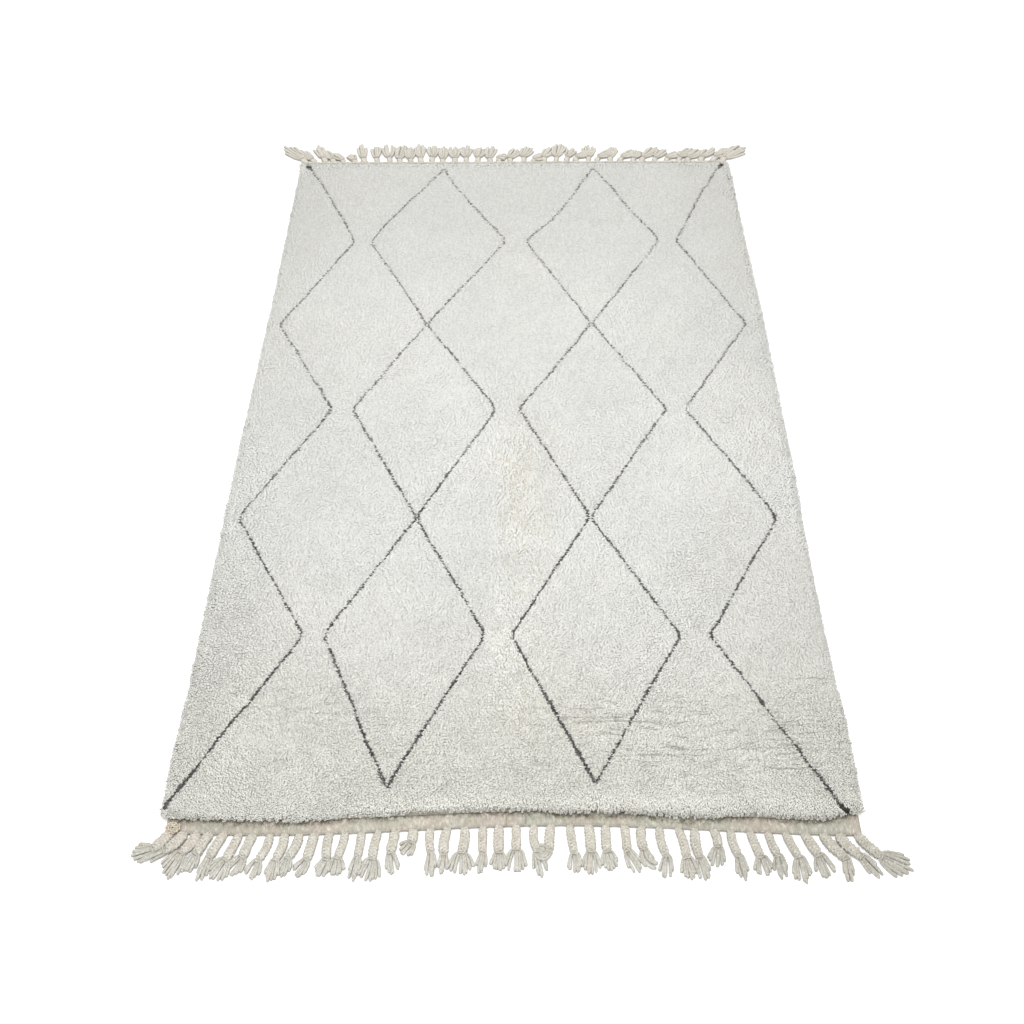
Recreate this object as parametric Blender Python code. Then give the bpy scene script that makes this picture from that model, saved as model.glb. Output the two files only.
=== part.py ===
"""A beni ourain rug lying flat: a knotted wool pile on its woven ground, a flat-woven band
across each end with a row of plaited tassels, and a knot of selvedge cord on one corner.

Metres, +Z up, the floor at Z = 0. The origin is the middle of the underside, X runs across
the rug and +Y along it, from the near end to the far end.
"""
import math
import random
from collections import namedtuple

import bmesh
import bpy
from mathutils import Vector, noise

# Pile field, from its woven ground up
HALF_WIDTH = 0.800          # middle to the edge of the pile
OVERHANG = 0.0080           # pile beyond the woven ground
KNEE_HEIGHT = 0.0056        # top of the woven ground, which the bands butt against
RIM_HEIGHT = 0.0120         # the pile reaches out furthest here
PILE_TOP = 0.0220
SHOULDER_DROP = 0.0030      # the pile's rounded shoulder
SHOULDER_INSET = 0.0050
CORNER_INSET = 0.0110       # the pile's corners are rounded off
COLUMNS = 32                # cells of the top, about 5 cm each way
ROWS = 48

# Unevenness of the pile
WANDER_LENGTH = 0.26        # the rim wanders in and out over about this length
SIDE_WANDER = 0.010
END_WANDER = 0.012
LUMP_HEIGHT = 0.0060        # soft lumps, a hand's breadth across
LUMP_LENGTH = 0.110
TUFT_HEIGHT = 0.0020        # smaller unevenness between them
TUFT_LENGTH = 0.037

# Locks that hang out of the rim
LOCK_COUNT = 57
LOCK_MARGIN = 0.0012
LOCK_WIDTH_SHARE = 0.42     # of one cell of the rim
LOCK_REACH = 0.011
LOCK_SKEW = 0.004
LOCK_DROP = 0.0015
LOCK_TIP_SHARE = 0.45

# Flat-woven end bands
PIECE_GAP = 0.0005
BAND_THICKNESS = 0.0048
BAND_WIDTH = 0.034
BAND_HALF_LENGTH = 0.796
FAR_EDGE = 1.257            # outer edge of the far band, which is straight
NEAR_EDGE = -1.254          # the near band's outer edge bows in by this much at most
NEAR_BOW = 0.011
NEAR_BOW_CENTRE = 0.12
NEAR_BOW_PERIOD = 1.40

# Plaited tassels: each is a plait, a tied neck and two locks of loose yarn
PLAIT_WIDTH = 0.0185
PLAIT_HEIGHT = 0.0095
PLAIT_WAIST = 0.80          # share of its width between two crossings of the plait
PLAIT_SHARE = 0.52          # of the tassel's whole length
PLAIT_STEPS = 5
TOP_SHARE = 0.58            # a strand's top is narrower than its foot
NECK_WIDTH = 0.0140
NECK_HEIGHT = 0.0075
YARN_SPREAD = 0.0082        # the two locks' middles, either side of the tassel's line
YARN_WIDTH = 0.0140
YARN_HEIGHT = 0.0090
YARN_BELLY = 0.70           # a lock is widest this far from the neck to its tip
TIP_WIDTH = 0.0095
TIP_HEIGHT = 0.0035
SHORTEST_LOCK = 0.92        # of the tassel's length
ROOT_JITTER = 0.0020
REACH_JITTER = 0.007
BEND = 0.37                 # share of its lean that a tassel has at half its reach
SIDE_STEP = 0.01            # used to find a tassel's direction

# Rows of tassels, section by section from left to right
Section = namedtuple("Section", "tassels first_root last_root first_lean last_lean reach splay")
NEAR_ROW = (
    Section(4, -0.785, -0.692, -0.084, -0.064, 0.080, 0.66),
    Section(9, -0.658, -0.384, -0.056, -0.014, 0.096, 0.90),
    Section(12, -0.346, 0.089, -0.010, 0.004, 0.106, 1.00),
    Section(10, 0.132, 0.500, 0.006, 0.026, 0.105, 0.95),
    Section(7, 0.540, 0.785, 0.034, 0.088, 0.088, 0.76),
)
FAR_ROW = (
    Section(5, -0.782, -0.640, -0.086, -0.050, 0.084, 0.76),
    Section(10, -0.598, -0.222, -0.042, -0.010, 0.100, 0.95),
    Section(6, -0.181, 0.030, -0.006, 0.004, 0.098, 1.00),
    Section(9, 0.072, 0.400, 0.008, 0.030, 0.098, 1.00),
    Section(9, 0.441, 0.782, 0.036, 0.086, 0.086, 0.80),
)
NEAR_SHORT = {0: 0.062, 16: 0.062, 24: 0.080, 33: 0.080}    # reach of the curled tassels
FAR_SHORT = {4: 0.062, 18: 0.060, 30: 0.066}
Tassel = namedtuple("Tassel", "root lean reach splay")

# Knot of selvedge cord, lying on the near band's left corner
KNOT_CENTRE = Vector((-0.7740, -1.2495, 0.0))
KNOT_RADIUS = 0.0065
KNOT_CORD = 0.0040
KNOT_STRETCH = 1.50         # longer across the rug than along it
KNOT_SIDES = 14
CORD_SIDES = 6

FIELD_SEED = 11
NEAR_SEED = 23
FAR_SEED = 37

WOOL_IVORY = (0.78, 0.77, 0.72, 1.0)
BAND_BEIGE = (0.58, 0.53, 0.45, 1.0)
CORD_TAN = (0.60, 0.50, 0.39, 1.0)
WOOL_ROUGHNESS = 0.93

RimPoint = namedtuple("RimPoint", "foot out reach")


def clear_scene():
    for obj in list(bpy.data.objects):
        bpy.data.objects.remove(obj, do_unlink=True)


def wool(name, colour):
    material = bpy.data.materials.new(name)
    material.use_nodes = True
    shader = material.node_tree.nodes["Principled BSDF"]
    shader.inputs["Base Color"].default_value = colour
    shader.inputs["Roughness"].default_value = WOOL_ROUGHNESS
    shader.inputs["Metallic"].default_value = 0.0
    return material


def add_piece(name, bm, material):
    """Turn the faces outwards and add the mesh as one named object."""
    bmesh.ops.recalc_face_normals(bm, faces=bm.faces)
    mesh = bpy.data.meshes.new(name)
    bm.to_mesh(mesh)
    bm.free()
    mesh.shade_smooth()
    mesh.set_sharp_from_angle(angle=math.radians(40.0))
    mesh.materials.append(material)
    piece = bpy.data.objects.new(name, mesh)
    bpy.context.scene.collection.objects.link(piece)
    return piece


def near_edge(x):
    """Outer edge of the near band at x."""
    turn = math.tau * (x - NEAR_BOW_CENTRE) / NEAR_BOW_PERIOD
    return NEAR_EDGE + NEAR_BOW * math.cos(turn)


def far_edge(x):
    """Outer edge of the far band at x."""
    return FAR_EDGE


def wander(along, side):
    """A slow wander of the rim between -1 and 1, different on each of its sides."""
    return noise.noise(Vector((along / WANDER_LENGTH, 5.0 * side, 0.5)))


def unevenness(x, y):
    """Height of the pile's lumps above or below its mean top."""
    soft = LUMP_HEIGHT * noise.noise(Vector((x, y, 0.0)) / LUMP_LENGTH)
    fine = TUFT_HEIGHT * noise.noise(Vector((x, y, 1.0)) / TUFT_LENGTH)
    return soft + fine


def ground_point(u, v):
    """A point of the woven ground, for u across and v along, both from -1 to 1."""
    x = u * (HALF_WIDTH - OVERHANG)
    near = near_edge(x) + BAND_WIDTH + PIECE_GAP
    far = far_edge(x) - BAND_WIDTH - PIECE_GAP
    return Vector((x, near + (far - near) * (v + 1.0) / 2.0, 0.0))


def rim_point(u, v):
    """Where the rim stands over the ground's edge, and how far out."""
    foot = ground_point(u, v)
    at_side = abs(u) > 1.0 - 0.5 / COLUMNS
    at_end = abs(v) > 1.0 - 0.5 / ROWS
    reach = OVERHANG
    if at_side:
        reach += SIDE_WANDER * wander(foot.y, math.copysign(1.0, u))
    if at_end:
        reach += END_WANDER * wander(foot.x, math.copysign(2.0, v))
    if at_side and at_end:
        reach -= CORNER_INSET
    out = Vector((math.copysign(at_side, u), math.copysign(at_end, v), 0.0))
    return RimPoint(foot, out, reach)


def border_loop(bm):
    """The border vertices of an open sheet, in order around it."""
    start = next(edge for edge in bm.edges if edge.is_boundary)
    loop = [start.verts[0]]
    walked = start
    following = start.other_vert(loop[0])
    while following is not loop[0]:
        loop.append(following)
        walked = next(e for e in following.link_edges if e.is_boundary and e is not walked)
        following = walked.other_vert(following)
    return loop


def join_rings(bm, ring, following):
    """A closed strip of faces between two rings of as many vertices."""
    strip = []
    for index in range(len(ring)):
        after = (index + 1) % len(ring)
        corners = (ring[index], ring[after], following[after], following[index])
        strip.append(bm.faces.new(corners))
    return strip


def draw_out_locks(bm, shoulder, chance):
    """Draw pointed locks out of some of the shoulder's faces."""
    for index in sorted(chance.sample(range(len(shoulder)), LOCK_COUNT)):
        face = shoulder[index]
        out = Vector((face.normal.x, face.normal.y, 0.0)).normalized()
        along = Vector((-out.y, out.x, 0.0))
        bmesh.ops.inset_individual(bm, faces=[face], thickness=LOCK_MARGIN)
        middle = face.calc_center_median()
        for vert in face.verts:
            vert.co -= along * ((vert.co - middle).dot(along) * (1.0 - LOCK_WIDTH_SHARE))
        tip = bmesh.ops.extrude_discrete_faces(bm, faces=[face])["faces"][0]
        reach = LOCK_REACH * chance.uniform(0.7, 1.2)
        skew = chance.uniform(-LOCK_SKEW, LOCK_SKEW)
        for vert in tip.verts:
            vert.co = middle + (vert.co - middle) * LOCK_TIP_SHARE + out * reach + along * skew
            vert.co.z -= LOCK_DROP


def pile_field():
    """The lumpy slab of pile, flat below, with its woven ground, overhanging rim and locks."""
    bm = bmesh.new()
    bmesh.ops.create_grid(bm, x_segments=COLUMNS, y_segments=ROWS, size=1.0)
    border = border_loop(bm)
    rim = [rim_point(vert.co.x, vert.co.y) for vert in border]
    for vert in bm.verts:
        vert.co = ground_point(vert.co.x, vert.co.y)
        vert.co.z = PILE_TOP + unevenness(vert.co.x, vert.co.y)
    for vert, point in zip(border, rim):
        vert.co.z -= SHOULDER_DROP
        vert.co += point.out * (point.reach - SHOULDER_INSET)
    ring = border
    walls = []
    for height, share in ((RIM_HEIGHT, 1.0), (KNEE_HEIGHT, 0.0), (0.0, 0.0)):
        up = Vector((0.0, 0.0, height))
        lower = [bm.verts.new(p.foot + p.out * p.reach * share + up) for p in rim]
        walls.append(join_rings(bm, ring, lower))
        ring = lower
    bm.faces.new(ring)
    bmesh.ops.recalc_face_normals(bm, faces=bm.faces)
    draw_out_locks(bm, walls[0], random.Random(FIELD_SEED))
    return add_piece("pile_field", bm, wool("wool_pile", WOOL_IVORY))


def tassel_row(row, short, chance):
    """Every tassel of a row, worked out from its sections."""
    tassels = []
    for section in row:
        for step in range(section.tassels):
            share = step / (section.tassels - 1)
            root = section.first_root + (section.last_root - section.first_root) * share
            lean = section.first_lean + (section.last_lean - section.first_lean) * share
            root += chance.uniform(-ROOT_JITTER, ROOT_JITTER)
            reach = section.reach + chance.uniform(-REACH_JITTER, REACH_JITTER)
            reach = short.get(len(tassels), reach)
            tassels.append(Tassel(root, lean, reach, section.splay))
    return tassels


def strand_ring(bm, centre, side, width, height):
    """Four points of a strand's section: two on the floor, two on top."""
    corners = ((-0.5, 0.0), (0.5, 0.0), (0.5 * TOP_SHARE, 1.0), (-0.5 * TOP_SHARE, 1.0))
    up = Vector((0.0, 0.0, height))
    return [bm.verts.new(centre + side * (width * across) + up * level)
            for across, level in corners]


def add_tassel(bm, ring, edge_y, away, tassel, chance):
    """One plaited tassel on the floor, grown out of a face of the band's outer edge."""

    def point(share):
        bent = (4.0 * BEND - 1.0) * share + (2.0 - 4.0 * BEND) * share * share
        return Vector((tassel.root + tassel.lean * bent, edge_y + away * tassel.reach * share, 0.0))

    def side(share):
        run = point(share + SIDE_STEP) - point(share - SIDE_STEP)
        return Vector((run.y, -run.x, 0.0)).normalized() * away

    for step in range(1, PLAIT_STEPS):
        share = PLAIT_SHARE * step / PLAIT_STEPS
        full = 1.0 if step % 2 else PLAIT_WAIST
        following = strand_ring(bm, point(share), side(share), PLAIT_WIDTH * full,
                                PLAIT_HEIGHT * full)
        join_rings(bm, ring, following)
        ring = following
    neck = strand_ring(bm, point(PLAIT_SHARE), side(PLAIT_SHARE), NECK_WIDTH, NECK_HEIGHT)
    below = bm.verts.new((neck[0].co + neck[1].co) / 2.0)
    above = bm.verts.new((neck[2].co + neck[3].co) / 2.0)
    bm.faces.new((ring[0], ring[1], neck[1], below, neck[0]))
    bm.faces.new((ring[1], ring[2], neck[2], neck[1]))
    bm.faces.new((ring[2], ring[3], neck[3], above, neck[2]))
    bm.faces.new((ring[3], ring[0], neck[0], neck[3]))
    add_lock(bm, (neck[0], below, above, neck[3]), -tassel.splay, point, side, chance)
    add_lock(bm, (below, neck[1], neck[2], above), tassel.splay, point, side, chance)


def add_lock(bm, start, splay, point, side, chance):
    """One lock of loose yarn beyond a tassel's neck, on the side that the splay's sign says."""
    widest = PLAIT_SHARE + (1.0 - PLAIT_SHARE) * YARN_BELLY
    end = chance.uniform(SHORTEST_LOCK, 1.0)
    belly = strand_ring(bm, point(widest) + side(widest) * splay * YARN_SPREAD, side(widest),
                        YARN_WIDTH * abs(splay), YARN_HEIGHT)
    tip = strand_ring(bm, point(end) + side(end) * splay * YARN_SPREAD, side(end),
                      TIP_WIDTH * abs(splay), TIP_HEIGHT)
    join_rings(bm, start, belly)
    join_rings(bm, belly, tip)
    bm.faces.new(tip)


def fringe(name, edge, away, tassels, material, chance):
    """A flat-woven band butted to the ground's edge, with a tassel grown out of every root."""
    half = PLAIT_WIDTH / 2.0
    columns = [-BAND_HALF_LENGTH]
    for tassel in tassels:
        columns += [tassel.root - half, tassel.root + half]
    columns.append(BAND_HALF_LENGTH)
    bm = bmesh.new()
    sections = []
    for x in columns:
        outer = edge(x)
        inner = outer - away * BAND_WIDTH
        profile = ((inner, 0.0), (outer, 0.0), (outer, BAND_THICKNESS), (inner, BAND_THICKNESS))
        sections.append([bm.verts.new((x, y, z)) for y, z in profile])
    bm.faces.new(sections[0])
    bm.faces.new(sections[-1])
    for index, (here, after) in enumerate(zip(sections, sections[1:])):
        inner_bottom, outer_bottom, outer_top, inner_top = zip(here, after)
        bm.faces.new(inner_bottom + outer_bottom[::-1])
        bm.faces.new(outer_top + inner_top[::-1])
        bm.faces.new(inner_top + inner_bottom[::-1])
        if index % 2:
            root = outer_bottom + outer_top[::-1]
            tassel = tassels[index // 2]
            add_tassel(bm, root, edge(tassel.root), away, tassel, chance)
        else:
            bm.faces.new(outer_bottom + outer_top[::-1])
    return add_piece(name, bm, material)


def corner_knot():
    """The selvedge cord's end, wound into a flat knot and sewn down on the band's corner."""
    bm = bmesh.new()
    rings = []
    for turn in range(KNOT_SIDES):
        angle = math.tau * turn / KNOT_SIDES
        ring = []
        for step in range(CORD_SIDES):
            about = math.tau * (step + 0.5) / CORD_SIDES
            radius = KNOT_RADIUS + KNOT_CORD * math.cos(about)
            x = radius * math.cos(angle) * KNOT_STRETCH
            y = radius * math.sin(angle)
            z = BAND_THICKNESS + PIECE_GAP + KNOT_CORD * (1.0 + math.sin(about))
            ring.append(bm.verts.new(KNOT_CENTRE + Vector((x, y, z))))
        rings.append(ring)
    for turn, ring in enumerate(rings):
        join_rings(bm, ring, rings[(turn + 1) % KNOT_SIDES])
    return add_piece("corner_knot", bm, wool("selvedge_cord", CORD_TAN))


def main():
    clear_scene()
    pile_field()
    band = wool("woven_band", BAND_BEIGE)
    near_chance = random.Random(NEAR_SEED)
    near_tassels = tassel_row(NEAR_ROW, NEAR_SHORT, near_chance)
    fringe("fringe_near", near_edge, -1.0, near_tassels, band, near_chance)
    far_chance = random.Random(FAR_SEED)
    far_tassels = tassel_row(FAR_ROW, FAR_SHORT, far_chance)
    fringe("fringe_far", far_edge, 1.0, far_tassels, band, far_chance)
    corner_knot()


main()
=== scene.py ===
"""Looks of a beni ourain rug lying flat on a pale floor: knotted wool pile with dark diamond
lines, flat-woven bands with plaited tassels, and a knot of selvedge cord on one corner.

Metres, +Z up, the floor at Z = 0. X runs across the rug and +Y along it, away from the camera.
"""
import math
import random
from collections import namedtuple

import bpy
import numpy as np
from mathutils import Matrix, Vector, noise
from mathutils.bvhtree import BVHTree


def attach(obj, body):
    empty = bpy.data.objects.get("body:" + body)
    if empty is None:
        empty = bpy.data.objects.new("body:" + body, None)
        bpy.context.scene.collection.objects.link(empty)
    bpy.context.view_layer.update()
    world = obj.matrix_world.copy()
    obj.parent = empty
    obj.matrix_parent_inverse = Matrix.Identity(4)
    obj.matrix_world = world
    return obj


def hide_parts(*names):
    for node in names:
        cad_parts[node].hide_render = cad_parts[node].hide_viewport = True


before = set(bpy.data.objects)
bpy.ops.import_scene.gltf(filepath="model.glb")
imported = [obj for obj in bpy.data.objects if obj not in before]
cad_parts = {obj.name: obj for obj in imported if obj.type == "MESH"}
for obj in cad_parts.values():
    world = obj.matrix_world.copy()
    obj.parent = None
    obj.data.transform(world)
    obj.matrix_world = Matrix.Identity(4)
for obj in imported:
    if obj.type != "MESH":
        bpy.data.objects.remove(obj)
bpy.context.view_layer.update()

# Camera, as it stood over the rug
CAMERA_PLACE = (0.0153, -1.9644, 2.2590)
CAMERA_DOWN = math.radians(54.564)      # below the horizon
CAMERA_LEFT = math.radians(0.676)
CAMERA_ROLL = math.radians(-0.654)
CAMERA_LENS = 34.55                     # millimetres
CAMERA_SENSOR = 36.0

# Studio: floor, light from all round, and a soft lamp over the rug
FLOOR_SIZE = 40.0
FLOOR_PALE = (0.93, 0.93, 0.93)
SKY_STRENGTH = 1.235
LAMP_PLACE = Vector((-0.05, -0.25, 2.60))
LAMP_AIM = Vector((0.0, -0.22, 0.0))
LAMP_SIZE = 1.6
LAMP_POWER = 58.0                       # watts

# Woven ground and bands, as the solids have them
GROUND_HALF_WIDTH = 0.792
GROUND_TOP = 0.0050
PIECE_GAP = 0.0005
BAND_THICKNESS = 0.0048
BAND_WIDTH = 0.034
BAND_HALF_LENGTH = 0.796
FAR_EDGE = 1.257
NEAR_EDGE = -1.254
NEAR_BOW = 0.011
NEAR_BOW_CENTRE = 0.12
NEAR_BOW_PERIOD = 1.40
CORNER_SEAM = (0.725, 0.035, 0.0130)    # where the near seam runs in, over what length, how far
RIM_HEIGHT = 0.0120

GROUND_CELLS = (40, 60)
GROUND_LUMP = 0.0004
BAND_CELLS = {-1.0: (996, 8), 1.0: (996, 2)}    # near and far
RIB_PITCH = 0.0048
RIB_HEIGHT = 0.0006
PUCKER = 0.0006
BAND_RAGGED = 0.0008
BAND_ROUNDING = 0.0010
CREASES = (-0.0145, 0.0300)      # where the near band was folded across
CREASE_DEPTH = 0.0024
CREASE_WIDTH = 0.0020
CREASE_SWELL = 0.0012            # of the wool beside it,
CREASE_BESIDE = 0.0048           # this far to the right
SEAM_SHADOW_STAND_BACK = 0.0015         # of the painted shadow on the band, under the tips of the pile
SEAM_SHADOW_REACH = (0.020, 0.0080)     # how far it shows under the pile, and out in front of it

# Cord twined along each band's outer edge, and the knot of selvedge cord
TWINING_LENGTHS = 8
TWINING_STEPS = 72
TWINING_PITCH = 0.0115
TWINING_FOOT = 0.0030
TWINING_LIFT = 0.0012       # of one ply over the other
TWINING_SIZES = {           # how far out it lies, its plies' half width and half height
    -1.0: (-0.0012, 0.0016, 0.0016),
    1.0: (-0.0015, 0.0046, 0.0032),
}
KNOT_CENTRE = (-0.7800, -1.2495)
KNOT_REACH = 0.0142
KNOT_STRETCH = 1.16
KNOT_TURNS = 3.1
KNOT_STEPS = 110
KNOT_EYE = 0.0016           # radius of the innermost turn
KNOT_TWISTS = 1.8           # of its two plies in each turn
KNOT_PLY = 0.0011           # from the cord's middle to the middle of a ply
KNOT_LIFT = 0.0038          # of the cord's middle over the band
KNOT_BUCKLE = 0.0009
KNOT_HALF_WIDTH = 0.0021    # of one ply
KNOT_HALF_HEIGHT = 0.0020

# Pile: a mass of packed wool, the tufts' ends on it, and whole tufts round its rim
END_STEP = 0.0054           # between the tufts' ends along a row, halfway along the rug
END_ROW = 0.0044            # between the rows
END_HALF_WIDTH = 0.82       # the rows start past the rug's edge, and are then cut to it,
END_HALF_LENGTH = 1.47      # even where the combing carries them along
END_JITTER = 0.0022
END_RAGGED = 0.0016         # how unevenly the outermost ends stand
END_TURN = 0.26             # how unevenly the ends are turned, in radians
END_CRIMP = 0.0008          # how their heights vary: in small lumps,
END_SWELL = 0.0005          # in large ones
END_HEAVE = 0.0008          # and from end to end
END_LEAN = -0.0024          # of their tips toward the camera
END_SWAY = 0.0012           # how that varies from place to place
END_STRAY = 0.0010          # and from end to end
END_WILDNESS = ((-1.21, -1.15, -0.30), (0.8, 1.15, 0.54))   # of their heights, along the rug
END_FALL = (0.0016, 0.012)  # how far the pile falls over the near edge, and from where
RIM_FALL = (0.0022, 0.014)  # and over the other three
END_LONG = 0.0094
END_BROAD = 0.0112
END_SUNK = 0.0034           # from the tufts' tips down to the feet of their ends
COARSENESS = (0.70, 1.50)   # of the ends at the near and the far end
END_FOOT = 0.10             # how high up the wool their feet count, for the painted shade toward the roots
MASS_SUNK = (0.0019, 0.0027)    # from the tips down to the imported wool, near and farther off
MASS_CELLS = (72, 112)
MASS_INSET = 0.0070
FAR_INSET = 0.0060          # of the outermost ends from the tips of the rim at the far end,
SIDE_INSET = 0.0065         # from those at the sides
NEAR_INSET = 0.0042         # and from those at the near edge
NEAR_OVERHANG = 0.0110      # how far the ends stand out over the near band
RIM_LAYERS = 4
RIM_INSETS = (0.0030, 0.0065, 0.0100, 0.0140)       # of the feet, from the rim inwards
RIM_BEHINDS = (0.0000, 0.0070, 0.0145, 0.0240)      # of the tips, likewise
NEAR_RIM_BEHINDS = (0.0000, 0.0040, 0.0080, 0.0125)
RIM_HEIGHTS = (0.0095, 0.0122, 0.0136, 0.0146)      # of the tips, at the sides
NEAR_RIM_HEIGHTS = (0.0104, 0.0122, 0.0130, 0.0134)
FAR_RIM_HEIGHTS = (0.0120, 0.0136, 0.0144, 0.0150)
FAR_RIM_REACH = 0.0272      # of the tips over the far band
RIM_REACH = {               # of the tips on the left and on the right, by their place along
    -1.0: ((-1.25, -0.98, -0.90, -0.10, 0.20, 0.50, 1.25),
           (0.8190, 0.8190, 0.8150, 0.8150, 0.8100, 0.8060, 0.8055)),
    1.0: ((-1.25, -0.98, -0.90, -0.45, -0.28, 0.45, 0.80, 1.25),
          (0.8155, 0.8155, 0.8100, 0.8085, 0.8160, 0.8195, 0.8140, 0.8090)),
}
RIM_USUAL = 0.803           # how far out the solid's rim stands, about,
RIM_WANDER = 0.004          # and how far at most it strays from that
RIM_STEP = 0.0054
TUFT_FOOT = 0.0040          # the whole tufts stand out of the ground at this height
TUFT_WIDTH = 0.0070
TUFT_INSET = 0.0015         # of their feet from the near seam
PILE_STRIPS = 4
PILE_SEED = 5

# Tassels
PLAIT_STEPS = 18
PLAIT_PITCH = 0.0215        # one strand's way across the plait and back
PLY_PITCH = 0.0300          # one turn of the plies in a strand
LOCKS = 8
LOCK_STEPS = 10
ROOT_JITTER = 0.0020
REACH_JITTER = 0.007
BEND = 0.37                 # how much of its lean a tassel has halfway along

# Their two rows, section by section, as the solids have them: places across, how far the tips
# lean over to a side, and lengths
Section = namedtuple("Section", "tassels first_root last_root first_lean last_lean reach")
NEAR_ROW = (
    Section(4, -0.785, -0.692, -0.084, -0.064, 0.080),
    Section(9, -0.658, -0.384, -0.056, -0.014, 0.096),
    Section(12, -0.346, 0.089, -0.010, 0.004, 0.106),
    Section(10, 0.132, 0.500, 0.006, 0.026, 0.105),
    Section(7, 0.540, 0.785, 0.034, 0.088, 0.088),
)
FAR_ROW = (
    Section(5, -0.782, -0.640, -0.086, -0.050, 0.084),
    Section(10, -0.598, -0.222, -0.042, -0.010, 0.100),
    Section(6, -0.181, 0.030, -0.006, 0.004, 0.098),
    Section(9, 0.072, 0.400, 0.008, 0.030, 0.098),
    Section(9, 0.441, 0.782, 0.036, 0.086, 0.086),
)

# Tassels that are shorter or longer than their section's, by their number from the left
NEAR_SHORT = {0: 0.062, 16: 0.062, 24: 0.130, 33: 0.080}
FAR_SHORT = {0: 0.080, 1: 0.070, 2: 0.098, 3: 0.076, 4: 0.070, 5: 0.058, 13: 0.090, 18: 0.060,
             21: 0.066, 30: 0.066}

# How the loose locks of the near and the far tassels differ: reach and its least and greatest
# share, thickness, width of a lobe and of the spread, and how much shorter the outer ones are
LockKind = namedtuple("LockKind", "reach least most thick lobe spread rounding")
LOCK_KINDS = {
    -1.0: LockKind(1.00, 0.93, 1.06, 1.00, 0.0062, 1.00, 0.32),
    1.0: LockKind(1.10, 0.84, 1.08, 1.46, 0.0084, 1.22, 0.22),
}
CORNER_STOUT = 0.16         # how much stouter the plaits are toward the corners
BOW = 0.0055                # how far a plait bows to a side
SLANT = 0.014               # and how far it slants over its tassel's length

# How the locks of each tassel lie, from the photo: degrees to the right, spread in mm
NEAR_FANS = (
    (-74, 48), (-65, 24), (-25, 60), (-24, 36), (-14, 26), (-29, 57), (-34, 42), (-20, 38),
    (-9, 36), (-14, 30), (-35, 35), (-23, 36), (-5, 45), (-10, 28), (-12, 60), (13, 36),
    (-40, 40), (0, 28), (-3, 25), (0, 66), (-8, 26), (0, 41), (-4, 56), (14, 37), (0, 22),
    (0, 38), (0, 49), (14, 42), (29, 36), (-4, 32), (-7, 34), (8, 44), (12, 36), (-12, 42),
    (9, 31), (8, 46), (4, 33), (4, 48), (17, 46), (2, 24), (38, 31), (63, 58),
)
FAR_FANS = (
    (-44, 46), (-46, 34), (-24, 34), (-38, 30), (-50, 30), (-34, 30), (-12, 32), (-6, 34),
    (-8, 46), (8, 42), (0, 40), (-6, 38), (-4, 42), (0, 38), (-4, 44), (0, 42), (10, 44),
    (8, 40), (40, 34), (25, 42), (20, 46), (60, 38), (30, 38), (12, 46), (20, 36), (58, 34),
    (2, 46), (55, 34), (14, 38), (55, 34), (30, 34), (40, 38), (34, 34), (60, 32), (48, 36),
    (46, 38), (40, 36), (52, 40), (50, 54),
)

# Where each plait ends, as a share of its tassel's length
NEAR_NECKS = {3: 0.60, 10: 0.60, 11: 0.60, 15: 0.50, 16: 0.46, 19: 0.55, 24: 0.45, 28: 0.52,
              29: 0.50, 33: 0.48, 34: 0.52, 39: 0.62}
FAR_NECKS = {4: 0.28, 18: 0.36, 21: 0.28, 25: 0.30, 27: 0.30, 29: 0.30, 31: 0.32, 33: 0.30}

# Both rows. curl is how far a curled tassel turns, in radians; neck and stout are the usual ones
TasselRow = namedtuple("TasselRow", "sections short fans necks curl neck stout seed")
ROWS = {
    "near": TasselRow(NEAR_ROW, NEAR_SHORT, NEAR_FANS, NEAR_NECKS, curl={24: -5.8, 29: 1.5},
                      neck=0.56, stout=1.34, seed=23),
    "far": TasselRow(FAR_ROW, FAR_SHORT, FAR_FANS, FAR_NECKS, curl={18: -1.6},
                     neck=0.31, stout=1.20, seed=37),
}
Tassel = namedtuple("Tassel", "root lean reach turn spread neck stout curl bow slant")

# What a tassel is made of: the sizes of a plait of stoutness 1, its binding and its locks
STRAND_SWAY = 0.0052        # of a strand from side to side
STRAND_WIDE = 0.0042        # its half width
STRAND_HIGH = 0.0030        # and half height
STRAND_LIFT = 0.0016        # over and under the other two
WRAP_TURNS = 1.04
WRAP_WIDE = 0.0062
WRAP_HIGH = 0.0036
LOCK_WIDTHS = ((0.0, 0.30, 0.85, 0.965, 1.0), (0.0022, 0.0035, 0.0042, 0.0036, 0.0018))
LOCK_FLATNESS = 0.75

Shape = namedtuple("Shape", "across deep share triangles")
Knots = namedtuple("Knots", "x y foot lean_x lean_y rise width turn dye tint shade")


# ---------------------------------------------------------------- finishes

PILE_GREY = (0.688, 0.694, 0.677)
PILE_CREAM = (0.708, 0.709, 0.686)
PILE_NEAR = (0.745, 0.738, 0.674)
PILE_FAR = (0.605, 0.607, 0.584)
PILE_SIDES = (0.510, 0.504, 0.462)
PILE_YELLOWED = (0.600, 0.572, 0.492)
PILE_ROOT_SHADE = (0.400, 0.388, 0.340)
PILE_CALM_ROOT_SHADE = (0.580, 0.578, 0.548)
PILE_SHADED = (0.330, 0.318, 0.275)
PILE_FIBRE = (0.20, 0.19, 0.16)
CHARCOAL_ROOT_SHADE = (0.012, 0.011, 0.010)
CHARCOAL_TIP = (0.030, 0.029, 0.027)
BAND_BEIGE = (0.378, 0.361, 0.307)
BAND_PINKISH = (0.398, 0.354, 0.309)
BAND_GREENISH = (0.368, 0.366, 0.315)
BAND_SIDES = (0.22, 0.215, 0.175)
BAND_FAR = (0.560, 0.528, 0.472)
BAND_SUNK = (0.20, 0.18, 0.13)
BAND_RAISED = (0.62, 0.59, 0.52)
BAND_LOW_SHADOW = (0.15, 0.13, 0.095)
BAND_SEAM_SHADOW = (0.130, 0.117, 0.080)
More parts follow.
